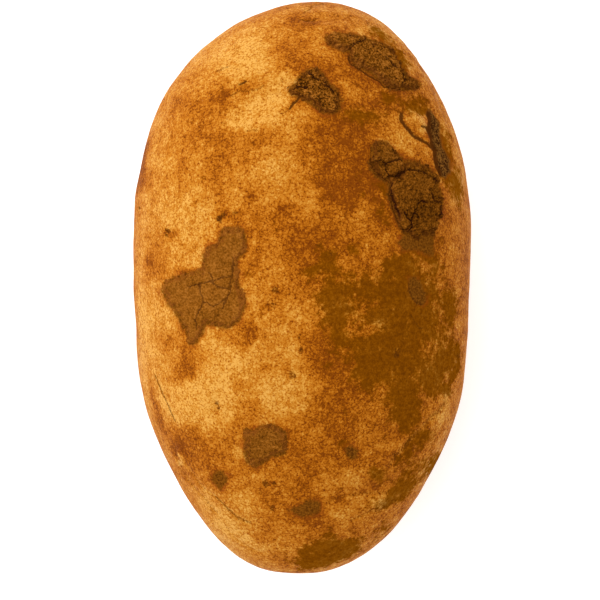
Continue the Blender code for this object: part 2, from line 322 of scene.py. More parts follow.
relief = sum(cloud(points, size, 5) * height for size, height in SLOW_WAVES)
relief += blots(DIMPLES)
painted_shade_and_scars = np.zeros(len(points))
line_seen = seen + wander[:, :2] * LINE_WANDER
# Each fold is sunk into the skin and darkened with painted shade
for depth, half_width, darkness, line in FOLDS:
    off_line = distance_to_line(line_seen, line) / half_width + OFF_BELOW * (1 - upper)
    relief -= depth * bell(off_line)
    painted_shade_and_scars = np.maximum(painted_shade_and_scars, darkness * bell(off_line))
crumbly = soft_step(depth_inside(line_seen, CRUMBS), -CRUMB_EDGE, CRUMB_EDGE) * upper
crumb_relief = sum(cloud(points, size, 15) * height for size, height in CRUMB_SIZES)
relief += crumbly * crumb_relief
for across, along, radius, darkness in SPOTS:
    inside = radius - np.linalg.norm(line_seen - (across, along), axis=1)
    spot = soft_step(inside, *SPOT_EDGE) * upper
    relief -= SPOT_DEPTH * spot
    painted_shade_and_scars = np.maximum(painted_shade_and_scars, darkness * spot)

# Each hidden eye lies where the solid is hollowest, near where it was put: a brow on the heel side,
# bent round a small dark bud, with painted shade under the brow and over the eye's hollow
eyes = np.zeros(len(points))
for along, turn in HIDDEN_EYES:
    round_by = math.radians(turn)
    way = Vector((math.cos(round_by) * half_box[0], 0, math.sin(round_by) * half_box[2]))
    hit, *_ = smooth_skin.ray_cast(Vector((0, along * MM, WIDEST_LEVEL)), way.normalized())
    near = np.flatnonzero(np.linalg.norm(points - np.array(hit), axis=1) < EYE_FOUND_WITHIN)
    middle = near[np.argmax(hollow[near])]
    long_way = np.cross((0, 1, 0), outward[middle])
    long_way /= np.linalg.norm(long_way)
    away = (points - points[middle]) / MM
    across, below = away @ long_way, -away @ np.cross(outward[middle], long_way)
    here = bell(across / EYE_HALF_LENGTH) * bell(away @ outward[middle] / EYE_THICKNESS)
    brow = here * bell((below - BROW_BELOW + BROW_BEND * across * across) / BROW_HALF_WIDTH)
    bud = here * bell(np.hypot(across, below) / BUD_RADIUS)
    relief -= BROW_DEPTH * brow + BUD_DEPTH * bud
    painted_shade_and_scars = np.maximum(painted_shade_and_scars, np.maximum(BROW_SHADOW_DARKNESS * brow, BUD_DARKNESS * bud))
    eyes += here * bell(below / EYE_HALF_BREADTH)
low, high = (np.array(corner) for corner in cad_box)
move_to(skin.data, np.clip(points + outward * relief[:, None] * MM, low, high))
# Painted shade in folds and under brows, with the dark of scars and buds, kept for the material
keep(skin.data, "painted_shade_and_scars", painted_shade_and_scars)
keep(skin.data, "crumbly", crumbly)
# Painted light and shade on the crumbs, by how high each one stands
keep(skin.data, "crumb_light_and_shade", CRUMB_PAINTED_LIGHT * crumb_relief)

# Where the skin shows pale or takes a painted highlight, where cork covers it and where soil has stained it,
# both of these also standing in for painted shade in places, as blots: across, along, half length, half
# breadth, turn, strength
PALE_AND_LIT = (
    # (-2, 60) is a painted highlight along the rim of the crown's tip
    (-2, 60, 4, 0.8, 0, 0.4), (11, 57, 3, 1, -20, 0.4), (-9, 56.5, 6, 2, 15, 0.5),
    (5, 56, 2, 1.5, 0, 0.5), (12.5, 55.8, 3, 0.8, -20, 0.5), (-20, 54, 4, 1, 35, 0.3),
    (-11, 54, 4, 2, 30, 0.25), (18.5, 54, 2, 0.8, -45, 0.5), (6, 53, 3, 2.5, 0, 0.3),
    (5.5, 52.5, 3, 2, 0, 0.7), (-12.5, 51.5, 8, 4.5, 30, 0.9), (-9, 51, 3, 2, 0, 0.3),
    (-12, 50, 5, 3, 0, 0.25), (-4, 50, 3, 1, 0, 0.3), (-11, 49, 4, 3, 0, 0.25), (-9, 49, 4, 3, 0, 0.3),
    (7, 48.5, 4, 3, 0, 0.35), (23.2, 48.5, 0.8, 2, 25, 0.5), (23, 48.3, 1, 1.4, 0, 0.4),
    (3, 47, 6, 2, 0, 0.2), (9, 47, 3, 3, 0, 0.3), (-2.5, 46, 2, 1.5, 0, 0.6),
    (-3, 45.5, 1.5, 1.2, 0, 0.8), (-3, 45.5, 1.2, 1, 0, 0.6), (-3.5, 45, 3, 2, 50, 0.8),
    (10, 44.5, 2, 1, 0, 0.4), (-15.3, 43, 1.5, 1, 0, 0.5), (-14.5, 43, 1.5, 1.5, 0, 0.5),
    (11, 42.5, 4, 2, 0, 0.5), (9, 41.5, 3, 2, 0, 0.3), (-15, 41, 1.5, 4, 0, 0.2),
    # (-9, 39.5) is a painted highlight on the wall of the upper-left eye's hollow that faces the light
    (-8, 40.2, 1.2, 1.2, 0, 0.7), (-15, 40, 1.5, 4, 0, 0.3), (-9, 39.5, 7, 3.6, 20, 0.9),
    (-24, 38, 1.5, 2, 0, 0.3), (2.5, 38, 2.5, 2.5, 0, 0.5), (7, 38, 1.5, 1.5, 0, 0.4),
    # (25, 37.5) is a painted highlight along the lit edge of the fold beside it
    (25, 37.5, 3.5, 1.5, -35, 0.9), (19, 37, 5, 4, 0, 0.5), (-15, 36.5, 3, 1.5, 0, 0.6),
    (-1, 36.3, 1.8, 1.5, 0, 0.6), (-24, 36, 1.5, 3, 0, 0.3), (-15, 36, 4, 1.2, 0, 0.6),
    (16.5, 33.8, 2, 1.2, 0, 0.4), (17, 33.8, 3, 1.2, -30, 0.4), (16.5, 33.5, 2, 1.2, 0, 0.3),
    (-31, 33, 1, 3, 0, 0.4), (-27, 33, 6, 3, 0, 0.3), (-3, 33, 2.5, 4, 0, 0.5),
    (23, 33, 3, 1.5, 0, 0.4), (-12, 32.5, 4, 1.2, 0, 0.4), (4, 32, 4, 2, 0, 0.25),
    (5, 31, 3, 2, 0, 0.4), (5, 31, 4, 4, 0, 0.2), (22.5, 31, 3, 1.2, -20, 0.5),
    (-31, 30, 0.8, 5, 0, 0.35), (-19.5, 30, 2, 1, 0, 0.3), (-13, 30, 1.5, 2.5, 0, 0.4),
    (-12, 30, 1.5, 4, 0, 0.3), (-6.5, 29.5, 3, 4, 0, 0.6), (15.5, 29.5, 1, 2, 0, 0.4),
    (-25, 29, 2, 2, 0, 0.3), (15.5, 29, 1, 2, 0, 0.3), (1, 28, 3, 4, 0, 0.4), (-30, 27, 2.5, 6, 0, 0.5),
    (-3.5, 27, 3, 4, 0, 0.5), (10, 27, 1.5, 2, 0, 0.6), (-19, 26, 3, 2, 0, 0.4),
    (9, 26, 1.5, 3, 0, 0.25), (-20, 25, 2, 1.5, 0, 0.3), (-14, 23.5, 1.5, 3, 0, 0.5),
    (-6, 23, 6, 2.5, 0, 0.3), (6, 21.5, 2.5, 2, 0, 0.3), (0.5, 21, 4, 4, 0, 0.4), (4, 21, 3, 2, 0, 0.4),
    (5, 21, 3, 2, 0, 0.3), (-32, 20, 2, 2, 0, 0.4), (-12, 18.5, 1, 1.2, 0, 0.5),
    (8.3, 18.5, 1.2, 2.5, 0, 0.5), (12.5, 17.5, 2.5, 4, 0, 0.9), (30.8, 17.5, 1, 1.5, 0, 0.5),
    (1.5, 17, 3, 2, 0, 0.5), (-25, 16, 8, 7, 0, 0.8), (9, 16, 1.5, 3, 0, 0.3),
    (8, 15.5, 2, 1.5, 0, 0.5), (1, 14.5, 3, 3, 0, 0.4), (-5, 14, 3, 3, 0, 0.5), (30, 14, 2, 4, 0, 0.3),
    (31.5, 14, 1.5, 4, 0, 0.4), (1.5, 13, 3, 4, 0, 0.2), (3, 13, 3, 2, 0, 0.3), (16, 13, 4, 3, 0, 0.6),
    (-7, 12, 4, 1.2, 0, 0.3), (-20.5, 10, 0.8, 3, 0, 0.5), (-20.5, 9, 1.2, 2, 0, 0.4),
    (-5, 8, 2.5, 3.5, 0, 0.6), (11, 8, 2.5, 2, 60, 0.6), (32, 8, 1, 3, 0, 0.4), (15.5, 7, 2, 3, 0, 0.5),
    (30.5, 7, 2, 2, 0, 0.5), (-27, 5.8, 3, 1, 0, 0.4), (-15, 4, 2, 2, 0, 0.1),
    (-29.2, 1.5, 1, 1.5, 0, 0.4), (-6, -0.5, 1.2, 2.5, 0, 0.2), (10.3, -2.7, 1.3, 1.2, 0, 0.6),
    # (-33.5, -3) is a painted sheen along the left rim
    (-33.5, -3, 0.8, 20, 0, 0.4), (-27, -3, 3, 3, 0, 0.5), (-4, -3, 6, 5, 0, 0.4),
    (-31.5, -4, 2.5, 11, 0, 0.7), (-1, -4, 4, 3, 0, 0.4), (3, -4, 1.2, 3, 0, 0.6),
    # (-33, -5) is a painted sheen along the left rim
    (12, -4, 2, 3, 0, 0.4), (32, -4, 1, 1.5, 0, 0.4), (-33, -5, 0.8, 14, 0, 0.4),
    (-24.5, -5.5, 1, 1.2, 0, 0.5), (16.3, -5.5, 1.8, 1.8, 0, 0.8), (-19.5, -6, 1.5, 1.2, 0, 0.6),
    (17, -6.8, 1.2, 1, 0, 0.4), (-28, -7, 2, 3, 0, 0.5), (-6, -7.5, 2, 1, 0, 0.3),
    (-17, -10, 6, 5, 0, 0.7), (-2, -10, 2, 3, 0, 0.3), (29, -10, 1.2, 1.2, 0, 0.8),
    (-24.5, -11.5, 1, 2, 0, 0.4), (0.5, -12.5, 2, 1.5, 0, 0.5), (-29, -13, 1.5, 1.5, 0, 0.5),
    (-13, -14, 8, 5, 0, 0.6), (27, -14, 0.8, 3, -20, 0.4), (-10.5, -15, 1.2, 1.2, 0, 0.4),
    (1, -15.5, 2, 1.5, 0, 0.3), (26, -17, 1.2, 1.5, 0, 0.5), (2, -18, 4, 3, 0, 0.7),
    (-17, -19, 7, 4, 0, 0.7), (-5, -19, 5, 4, 0, 0.6), (17, -20.5, 1.5, 1.5, 0, 0.6),
    (-25, -21, 6, 4, -30, 0.9), (-28, -21.5, 2.5, 3, 0, 0.3), (-2, -22, 6, 2.5, 0, 0.3),
    (1, -22, 3, 2, 0, 0.5), (-7, -23, 1.5, 1.5, 0, 0.4), (-28.5, -23.5, 1.2, 3, 25, 0.3),
    (30, -23.5, 4, 1.5, 60, 0.8), (-18, -24, 7, 3, 10, 0.8), (12, -24, 2, 1.5, 0, 0.4),
    (13, -24, 3, 2, 0, 0.3), (27, -24, 1.2, 1.5, 0, 0.6), (3, -24.5, 5, 2, 0, 0.2),
    (-8, -25, 3, 1.5, 0, 0.6), (-9, -25.5, 1.5, 1, 0, 0.4), (-9.5, -26.3, 1.5, 1, 0, 0.5),
    (-4, -26.3, 2, 1, 0, 0.4), (-2.5, -26.5, 3, 1.2, 0, 0.7), (2, -28.5, 3, 1.5, 0, 0.4),
    (3, -28.5, 3, 1.5, 0, 0.6), (13, -28.5, 3.5, 1.2, 0, 0.7), (-1, -29, 3, 3, 0, 0.25),
    (-11.8, -30, 1, 3, 0, 0.5), (-19, -30.5, 5, 1, 0, 0.5), (6, -30.5, 3, 1, 0, 0.3),
    (-20, -31, 5, 1, 0, 0.4), (2, -31, 2, 1.5, 0, 0.3), (18, -31, 7, 2, 10, 0.6),
    (-14.5, -33, 2, 2, 0, 0.3), (-13, -33, 2, 3, 0, 0.7), (-12.5, -33, 1.5, 2, 0, 0.4),
    (26.5, -33, 1, 3, -35, 0.4), (-25, -33.8, 0.9, 0.6, -30, 1.6), (-3, -34, 2.5, 1, 0, 0.4),
    (-9, -36.8, 1.5, 1.5, 0, 0.5), (-17, -37, 4, 2.5, 0, 0.3), (-8, -37, 3, 1.2, 0, 0.5),
    (11, -37.5, 4, 2.5, 0, 0.6), (-3, -38.5, 5, 1.2, 0, 0.3), (3.7, -40, 1.5, 1, 0, 0.4),
    (12, -41.5, 1.2, 0.8, 0, 0.8), (17.5, -41.8, 2.2, 1, 20, 0.8), (-11.5, -42, 4, 2, -30, 0.6),
    (8, -45, 4, 2.5, 0, 0.6), (16, -45, 3, 1, 20, 0.3), (-8, -46, 2, 1, 0, 0.6),
    # (-17, -48) is a painted highlight along the lower left rim
    (-15, -46.5, 9, 2.2, -45, 0.8), (6, -47, 1.5, 2, 0, 0.35), (-17, -48, 8, 2, -50, 0.35),
    (10.5, -48, 1.5, 1.5, 0, 0.3), (-2, -48.5, 3, 2, 0, 0.4), (0, -48.5, 1.5, 1.5, 0, 0.5),
    (9, -48.5, 2, 1.3, 0, 0.5), (-18, -51, 6, 1, -45, 0.4), (-2, -52.5, 4, 1.2, 0, 0.5),
)
CORKY_AND_SHADED = (
    (0.5, 59.5, 4, 1.6, 0, 0.6), (1, 59, 3, 1.2, 0, 0.3), (-2, 58, 6, 1.6, 0, 0.6),
    (0, 58, 4, 1.2, 20, 0.4), (-3, 53, 4, 3, 0, 0.5), (2, 52, 9, 5, 0, 0.5),
    (-18, 48.5, 2.5, 1, 20, 0.3), (-3.5, 48.3, 1.5, 1, 0, 0.6), (-18, 48, 4, 2, 0, 0.3),
    (-2, 48, 2.5, 0.8, 0, 0.6), (14, 48, 12, 10, -30, 0.4), (-1.5, 47.8, 2, 0.8, 30, 0.3),
    (11.5, 47.5, 3, 1, -35, 0.3), (-18, 47, 3, 1.5, 30, 0.3), (-24.5, 46.5, 2.5, 1, 45, 0.3),
    # (-12, 44.5) and (-10, 44.6) are painted shade on the upper-left eye's wall turned away from the light
    (7, 46, 4, 3, -50, 0.5), (-10, 44.6, 3, 0.8, 15, 0.4), (-12, 44.5, 5, 1.2, 25, 0.8),
    (-16, 43, 2, 1.5, 0, 0.6), (26, 43, 2, 2, 0, 0.3), (-16.8, 42.8, 1.8, 0.8, 20, 0.6),
    (22, 42.5, 2.5, 1.5, 0, 0.5), (-29.5, 41.5, 1.5, 3, 30, 0.3), (0.5, 41.3, 1.5, 1, 0, 0.4),
    (-26, 41, 3, 4, 0, 0.3), (-20, 41, 7, 4, 20, 0.6), (-15, 41, 2, 1.5, 0, 0.5),
    (-1.5, 41, 1.5, 1.5, 0, 0.5), (9, 41, 1.5, 2, 0, 0.5), (17.5, 41, 3, 1.2, 0, 0.4),
    (18, 41, 5, 2.5, 0, 0.2), (19, 41, 7, 2.5, -10, 0.4), (22, 41, 4, 2, 0, 0.3),
    (27, 40, 2, 1.2, -50, 0.6), (12, 38.5, 5, 2, 0, 0.3), (14, 38.5, 3, 2.5, 0, 0.25),
    (9, 36.3, 8, 1.6, 0, 0.7), (22, 36, 1, 3, 0, 0.3), (-19, 35, 10, 2.5, 0, 0.4),
    (24.5, 35, 2, 0.8, -40, 0.4), (-34, 34, 1, 6, 15, 0.4), (-8, 33.5, 5, 1.5, 0, 0.5),
    (-20, 33.3, 4, 0.9, -15, 0.5), (0, 33, 6, 4, 0, 0.4), (13, 33, 2, 3, 0, 0.3), (8, 32, 8, 4, 0, 0.6),
    (-12, 31, 2, 2, 0, 0.5), (31.5, 31, 1.5, 3, 0, 0.5), (-34, 30, 1.2, 6, 0, 0.4),
    (-33, 30, 2, 7, 0, 0.35), (25, 29.5, 3, 1.5, 0, 0.5), (-17, 29, 4, 6, 0, 0.5),
    (-8.5, 29, 2.5, 1.5, 30, 0.2), (-9, 28.5, 2, 1, 20, 0.35), (-33.5, 28, 1.2, 6, 0, 0.4),
    (-24.5, 28, 1, 3, 0, 0.4), (-33.5, 27, 1.5, 5, 0, 0.4), (14, 27, 3, 3, 0, 0.5),
    (13.5, 26, 1.5, 2, 0, 0.4), (10, 25, 7, 4, 0, 0.7), (18, 25, 1.2, 2.5, 0, 0.4),
    (22, 25, 4, 4, 0, 0.4), (18, 24.5, 1.5, 2, 0, 0.4), (17.5, 24, 1.5, 2, 0, 0.35),
    (18, 24, 1.8, 3.5, 0, 0.6), (-12, 22.8, 2, 1, 0, 0.2), (-17, 22.5, 1.2, 1.2, 0, 0.4),
    (-11.5, 22.5, 2, 1, 0, 0.35), (-9, 22, 3, 2.5, 0, 0.5), (8, 22, 4, 3, 0, 0.7),
    # (13, 22) is cork, and partly painted shade over the right side, which is turned from the soft box
    (12, 22, 1.5, 1.2, 0, 0.4), (13, 22, 13, 26, 0, 0.5), (18, 22, 1.2, 4, 0, 0.6),
    (35, 22, 1, 8, 0, 0.4), (-11.2, 21.8, 1.5, 1.2, 0, 0.5), (12, 21.8, 1.5, 1, 0, 0.8),
    (-18, 21.5, 1.5, 2.5, 0, 0.5), (-10.5, 20.5, 1.2, 1.2, 0, 0.4), (-2.5, 20.5, 1, 1.5, 0, 0.4),
    (-2, 19.5, 1.5, 1.5, 0, 0.5), (-14, 18.5, 1.5, 1, 0, 0.3), (-14.8, 18.3, 1.5, 1, 0, 0.6),
    (-16.5, 18, 1.5, 1, 30, 1), (-13, 18, 2, 2, 0, 0.6), (15.5, 17.5, 1.5, 3, 0, 0.6),
    (-7.5, 17, 2, 1.5, 0, 0.6), (-2, 17, 5, 7, 0, 0.7), (31, 16, 1.5, 3, 0, 0.4),
    (31, 15, 2, 8, 0, 0.3), (-20, 14, 4, 4, 0, 0.3), (0, 14, 12, 14, 0, 0.3),
    (-27.4, 13.8, 1, 1, 0, 1.1), (-10, 13.5, 1.5, 3, 0, 0.6), (9.5, 13.5, 0.8, 1.5, 0, 0.5),
    (3, 13, 7, 5, 0, 0.6), (9.5, 13, 0.8, 1.5, 0, 0.4), (-28.5, 12.5, 3, 2, 0, 0.5),
    (-30, 12, 3, 4, 0, 0.3), (-5, 12, 5, 3, 0, 0.5), (13, 12, 3, 1.5, 60, 0.3),
    (-14, 11.5, 2, 2, 0, 0.1), (11, 11.5, 2, 1.5, 0, 0.6), (31, 10, 2.5, 14, 0, 0.55),
    (0.5, 8.5, 3, 1, 0, 0.3), (-32.5, 8, 1, 3, 0, 0.5), (-10, 8, 3.5, 1.5, 0, 0.45),
    (-30, 7.5, 3, 2.5, 0, 0.5), (5, 7.5, 6, 1.5, 5, 0.3), (-31.5, 7, 2, 4, 0, 0.5),
    (-12, 7, 1.5, 1, 0, 0.4), (1, 6, 4, 3, 0, 0.25), (-26, 5.8, 3, 1, 0, 0.4), (-22, 5.5, 3, 1, 0, 0.5),
    (5, 5, 3, 2, 0, 0.25), (35, 5, 1, 8, 0, 0.3), (-31.5, 4.5, 1, 2.5, 0, 0.4), (-4.8, 2, 1, 1, 0, 0.9),
    (-6.5, -1, 2, 1.2, 0, 0.7), (14, -1, 3, 2, 0, 0.25), (-5, -2.5, 1.5, 2, 0, 0.4),
    (34, -3, 1.5, 14, 0, 0.4), (-3, -4.5, 1, 1, 0, 0.6), (-24.5, -5, 2, 1.5, -50, 0.6),
    (-10, -5, 1.2, 1.5, 0, 0.6), (6, -5.5, 3, 1, 0, 0.3), (-10, -6, 1, 2.5, 0, 0.6),
    (-15.5, -7, 2.5, 1.5, 0, 0.5), (-11, -7.5, 3, 2.5, 0, 0.6), (1, -7.5, 2, 1, 0, 0.4),
    # (18, -8) is cork, and partly painted shade over the right side, which is turned from the soft box
    (-28, -8, 3.5, 3, 0, 0.6), (-14, -8, 4, 2, 0, 0.5), (18, -8, 17, 28, 0, 0.65),
    (0, -8.5, 3, 2, 0, 0.25), (-14, -9, 1.5, 2, 0, 0.25), (3.5, -9, 2, 3, 0, 0.5),
    (3, -10, 2, 2, 0, 0.25), (4, -10, 1.5, 1.5, 0, 0.3), (31, -10, 2, 10, 0, 0.4),
    (-23.6, -10.5, 0.7, 2.5, -10, 0.5), (-12, -10.5, 2, 1.5, 0, 0.3), (10, -11, 3, 1.5, 0, 0.35),
    (20, -11, 4, 2, 20, 0.4), (-20, -12, 4, 4, 0, 0.4), (6, -13, 5, 2.5, 0, 0.8),
    (-16, -13.5, 6, 2, -15, 0.25), (-24, -14, 2, 3, -20, 0.8), (-19, -14, 4, 1.5, -10, 0.25),
    (-7, -14, 2, 2, 0, 0.4), (5, -14, 4, 1.5, 0, 0.4), (33.5, -14, 1, 4, 0, 0.4),
    (-7, -14.5, 1.5, 1, 0, 0.5), (8, -14.5, 6, 1.2, 0, 0.4), (-24, -14.8, 1.5, 1.2, 0, 0.6),
    (-27, -16.5, 3, 1, 20, 0.5), (-1.4, -16.5, 1.2, 1.2, 0, 0.3), (-1.2, -16.8, 1, 1, 0, 0.7),
    (-12, -17, 3, 2, 0, 0.4), (-12, -17, 2, 1.5, 0, 0.3), (-10, -17, 5, 2, 0, 0.4),
    (-12, -18, 4, 4, 0, 0.25), (17.5, -18.5, 2, 1.2, 0, 0.4), (-31, -20, 0.9, 4, 12, 0.9),
    (7, -20, 5, 5, 0, 0.6), (12, -20.5, 4, 2, 0, 0.5), (25.5, -21.5, 1, 3, 0, 0.4),
    (-18, -22, 1.5, 1.5, 0, 0.4), (-12, -22, 4, 3, 0, 0.4), (-10, -22, 3, 3.5, 0, 0.7),
    (23, -22, 3, 3, 0, 0.3), (-17.5, -22.5, 1.2, 1, 0, 0.5), (2, -22.5, 2, 0.8, 0, 0.4),
    (-29.3, -24.5, 1, 3, 20, 0.8), (-23, -25, 2, 2, 0, 0.4), (-14, -26, 1.2, 3, 0, 0.5),
    (-5, -27, 5, 1.5, 0, 0.6), (20, -27, 1.2, 1.2, 0, 0.4), (-2, -28, 14, 6, 0, 0.3),
    (0, -28, 4, 5, 0, 0.6), (7, -28, 4, 2.5, 0, 0.7), (-24, -29.5, 5, 4, -40, 0.8),
    (-14.7, -30.5, 0.9, 1.2, 0, 0.5), (-15, -30.8, 1.2, 1, 0, 0.5), (-21, -31, 5, 4, 0, 0.6),
    (25, -31, 4, 2.5, 60, 0.6), (-26, -31.5, 1.5, 1, 0, 0.5), (-25, -32.5, 2, 1.5, 0, 0.5),
    (6, -33, 3, 1.5, 0, 0.5), (12, -33, 6, 1, 0, 0.6), (18, -33, 3, 1.2, 0, 0.5),
    (23, -33, 6, 4, 60, 0.45), (-16, -35, 5, 3, 0, 0.5), (2, -35, 3, 3, 0, 0.5),
    (-26.8, -35.5, 1.2, 1.5, 0, 0.5), (-13, -36, 1, 3, 0, 0.3), (-24, -37, 3, 3, 0, 0.4),
    (-23.5, -37, 3, 2.5, 0, 0.4), (15, -39, 3, 2, 0, 0.5), (-6, -39.5, 2.5, 1, 0, 0.4),
    (10, -39.5, 6, 2, 0, 0.15), (9.5, -41, 2, 1.2, 0, 0.5), (-9.5, -41.5, 1.5, 1.5, 0, 0.4),
    (9, -41.5, 3, 1.2, 0, 0.4), (-18, -42, 3, 1, 0, 0.3), (1, -42, 1.5, 2.5, 0, 0.5),
    # (8, -44) is cork, and partly painted shade towards the lower right
    (8, -44, 20, 16, 0, 0.4), (2, -44.5, 3, 2, 0, 0.3), (2, -44.5, 5, 3, 0, 0.25),
    (-5.3, -45, 1.5, 1, 0, 0.4), (2.5, -46, 1.5, 1.5, 0, 0.5), (9, -47, 3, 2, 0, 0.3),
    (3, -48, 6, 3, 0, 0.5), (15, -48, 4, 2, 0, 0.3), (-9.5, -49, 1.5, 2, 0, 0.4),
    (9, -49, 1.5, 1.2, 0, 0.5), (0, -53, 4, 3, 0, 0.4), (5, -53.5, 5, 1.5, 10, 0.6),
    (-8, -54, 3, 2, 0, 0.3), (-2, -55.5, 3, 1, 0, 0.5),
)
STAINED_AND_SHADED = (
    (16, 56.5, 2, 1, -30, 0.6), (17, 56, 2.5, 1.2, -30, 0.5), (19.5, 52, 5.5, 2.2, -45, 0.8),
    (19, 51, 4, 3, -45, 0.5), (21.5, 49.5, 2, 3, 0, 0.7), (22.5, 48, 2, 2.5, 0, 0.2),
    (24, 42.5, 3, 2, -30, 0.7), (18, 42, 1.5, 1.2, 0, 0.8), (21, 41.5, 5, 1.5, -10, 0.6),
    (24, 39.8, 3, 1, 0, 0.7), (25.3, 39.2, 1.8, 1, 0, 0.6), (18, 39, 3, 1.5, 0, 0.4),
    (25.5, 39, 2, 1, -20, 0.5), (12, 38.5, 4, 2, 0, 0.6), (13, 38.5, 4.5, 2.2, 0, 0.8),
    (27.8, 36, 1.5, 1, 0, 0.8), (30.5, 36, 1.2, 3, 20, 0.5), (29.5, 31.5, 1.2, 1.5, 0, 0.4),
    (30, 31, 1.5, 4, 15, 0.8), (30, 31, 1.5, 2, 0, 0.8), (13, 26.5, 1.5, 1.2, 0, 0.5),
    (30, 26.5, 2, 1.2, 0, 0.8), (31.5, 26, 2.5, 2.5, 0, 0.9), (17.5, 24.5, 1.5, 2.5, 0, 0.4),
    (17.8, 24.5, 1.5, 2.5, 0, 0.5), (33.5, 24, 1.2, 3, 0, 0.6), (18, 23, 0.9, 3, 0, 0.6),
    (12, 21.5, 1.2, 1.2, 0, 0.4), (12.5, 21.5, 1, 1.5, 0, 0.7), (33, 21, 1.5, 3, 0, 0.6),
    (17, 18, 1.7, 1.6, 0, 0.7), (30, 13, 2, 4, 0, 0.6), (4, 11.5, 0.8, 1.3, 0, 0.8),
    (11.5, 11.5, 1.8, 1.2, 0, 0.6), (11, 11, 3, 1.5, 0, 0.5), (27, 11, 1.5, 2, 0, 0.9),
    (6.5, 9.5, 1.2, 1.2, 0, 0.8), (23, 9, 2, 4, 0, 0.6), (22, 8, 2, 3, 0, 0.6),
    (28, 8, 4, 1.6, -55, 0.9), (19, 7.5, 1.5, 2, 0, 0.7), (23, 7.5, 5, 0.8, 0, 0.4),
    (5, 6.5, 4, 1.8, 15, 0.8), (4.5, 6, 2.5, 1.8, 0, 0.6), (17, 5.3, 2, 1, 0, 0.6),
    (1.5, 5, 1, 1, 0, 0.8), (11, 4, 3, 2, 0, 0.5), (26, 2.5, 3, 2.5, 0, 0.7), (17, 2, 5, 3, 0, 0.8),
    (26, 2, 1.5, 2, 0, 0.3), (24.6, 1.9, 3, 2, -65, 1.2), (7, 1.5, 3, 2.5, 0, 1),
    (24.5, 1.5, 3.5, 2, -60, 1.2), (23, 1, 2, 1.5, 0, 0.4), (31.5, 1, 2, 2.5, 0, 0.6),
    (23, 0.5, 2, 1.5, 0, 0.4), (8, -1, 5, 2, 0, 0.6), (22, -1, 4, 1.5, 20, 0.7),
    (31, -1.5, 1.5, 3.5, 0, 0.4), (31.5, -1.5, 2.5, 3, 0, 0.7), (9, -3, 1.5, 2, 0, 0.5),
    (28.3, -3, 0.9, 2, 0, 0.5), (6, -3.5, 2, 3, 0, 0.5), (15, -3.5, 5, 2, 0, 0.7),
    (25.5, -4, 1.8, 2.5, 0, 0.9), (5.5, -4.2, 1, 1, 0, 0.6), (17.5, -4.8, 2, 1.2, 0, 0.6),
    (25.5, -5, 1.2, 1.8, 0, 0.5), (8, -7, 3.5, 1, -70, 0.9), (28, -7, 1.2, 2, 0, 0.5),
    # (18, -8) is stain, and partly painted shade over the right side, which is turned from the soft box
    (30.5, -7, 2, 2, 0, 0.7), (27.5, -7.5, 1.2, 2, 0, 0.4), (18, -8, 13, 24, 0, 0.4),
    (21, -8, 4, 5, 0, 0.8), (12, -10, 5, 2, 0, 0.5), (24, -10, 3, 1.2, 0, 0.3),
    (20, -10.5, 3, 2, 30, 0.5), (20, -10.5, 3.5, 2.5, 20, 0.5), (20, -11, 3, 1.5, 0, 0.4),
    (20, -11, 3.5, 2, 30, 0.5), (20, -11, 3, 2, 0, 0.4), (20.5, -11.4, 1.2, 1.2, 0, 1),
    (19, -11.5, 3, 1.5, 0, 0.5), (20.5, -11.5, 2, 1.5, 0, 0.8), (33.2, -11.5, 0.6, 1.4, 0, 0.8),
    (12, -12, 1.5, 2, 0, 0.7), (30.5, -12, 1.5, 2.5, 0, 0.9), (31.5, -13, 3, 4, 0, 0.8),
    (33, -13, 1.5, 2.5, 0, 0.7), (4, -13.5, 3, 1.5, 0, 0.5), (25, -13.5, 1.5, 1.5, 0, 0.5),
    (15, -14, 4, 4, 0, 1), (24, -15, 5, 5, 0, 0.5), (12.5, -16, 1.5, 1, 0, 0.5),
    (29, -16, 2.5, 3, 0, 0.7), (28, -17, 1.5, 2, 0, 0.7), (14, -18, 1.5, 1.4, 0, 1),
    (21, -20, 2, 3, 0, 0.7), (24, -20, 3, 4, 0, 0.5), (30.5, -20, 1.5, 1, 0, 0.8),
    (31, -20, 1.5, 1.2, 0, 0.9), (31.5, -20.3, 1.2, 1, 0, 0.5), (22.5, -24, 3, 2.5, 0, 1.1),
    (26, -28, 1.5, 1, 0, 0.7), (28, -28.5, 1.2, 1.5, 0, 0.8), (9, -29.3, 2, 1.2, 0, 0.7),
    (25, -29.5, 2, 2, 0, 0.6), (23, -31, 4, 1.2, 50, 0.45), (23.5, -33, 1.5, 1.5, 0, 0.4),
    (29, -33, 1.2, 5, -30, 0.5), (28.5, -35, 0.9, 5, -35, 0.4), (15, -36, 3, 1.2, 0, 0.3),
    (16, -36, 1.5, 2, 0, 0.6), (16, -36.5, 1, 2, 0, 0.7), (22, -37, 4, 2, 50, 0.4),
    (31, -37, 1, 4, -35, 0.3), (22, -40, 3, 1.5, 40, 0.8), (21, -41, 1.5, 1.5, 0, 0.8),
    (20, -41.5, 3, 1.5, 0, 0.6), (18, -42.3, 4, 1.5, 20, 1.1), (18, -48, 3, 1.5, 50, 0.6),
    (7, -50, 3, 1.2, 0, 0.4), (13, -50, 4, 2, 30, 0.4), (6, -51, 3, 1.5, 0, 0.3),
    (6, -52.5, 4, 2, 10, 0.5), (6, -53, 5, 2.5, 0, 0.8), (7, -53, 6, 2, 10, 1),
    (5.5, -53.8, 3, 1.5, 15, 0.6), (9, -54, 6, 1.2, 12, 0.7), (5, -54.5, 8, 1, 8, 0.5),
    (2, -56, 4, 1.5, 0, 1),
)
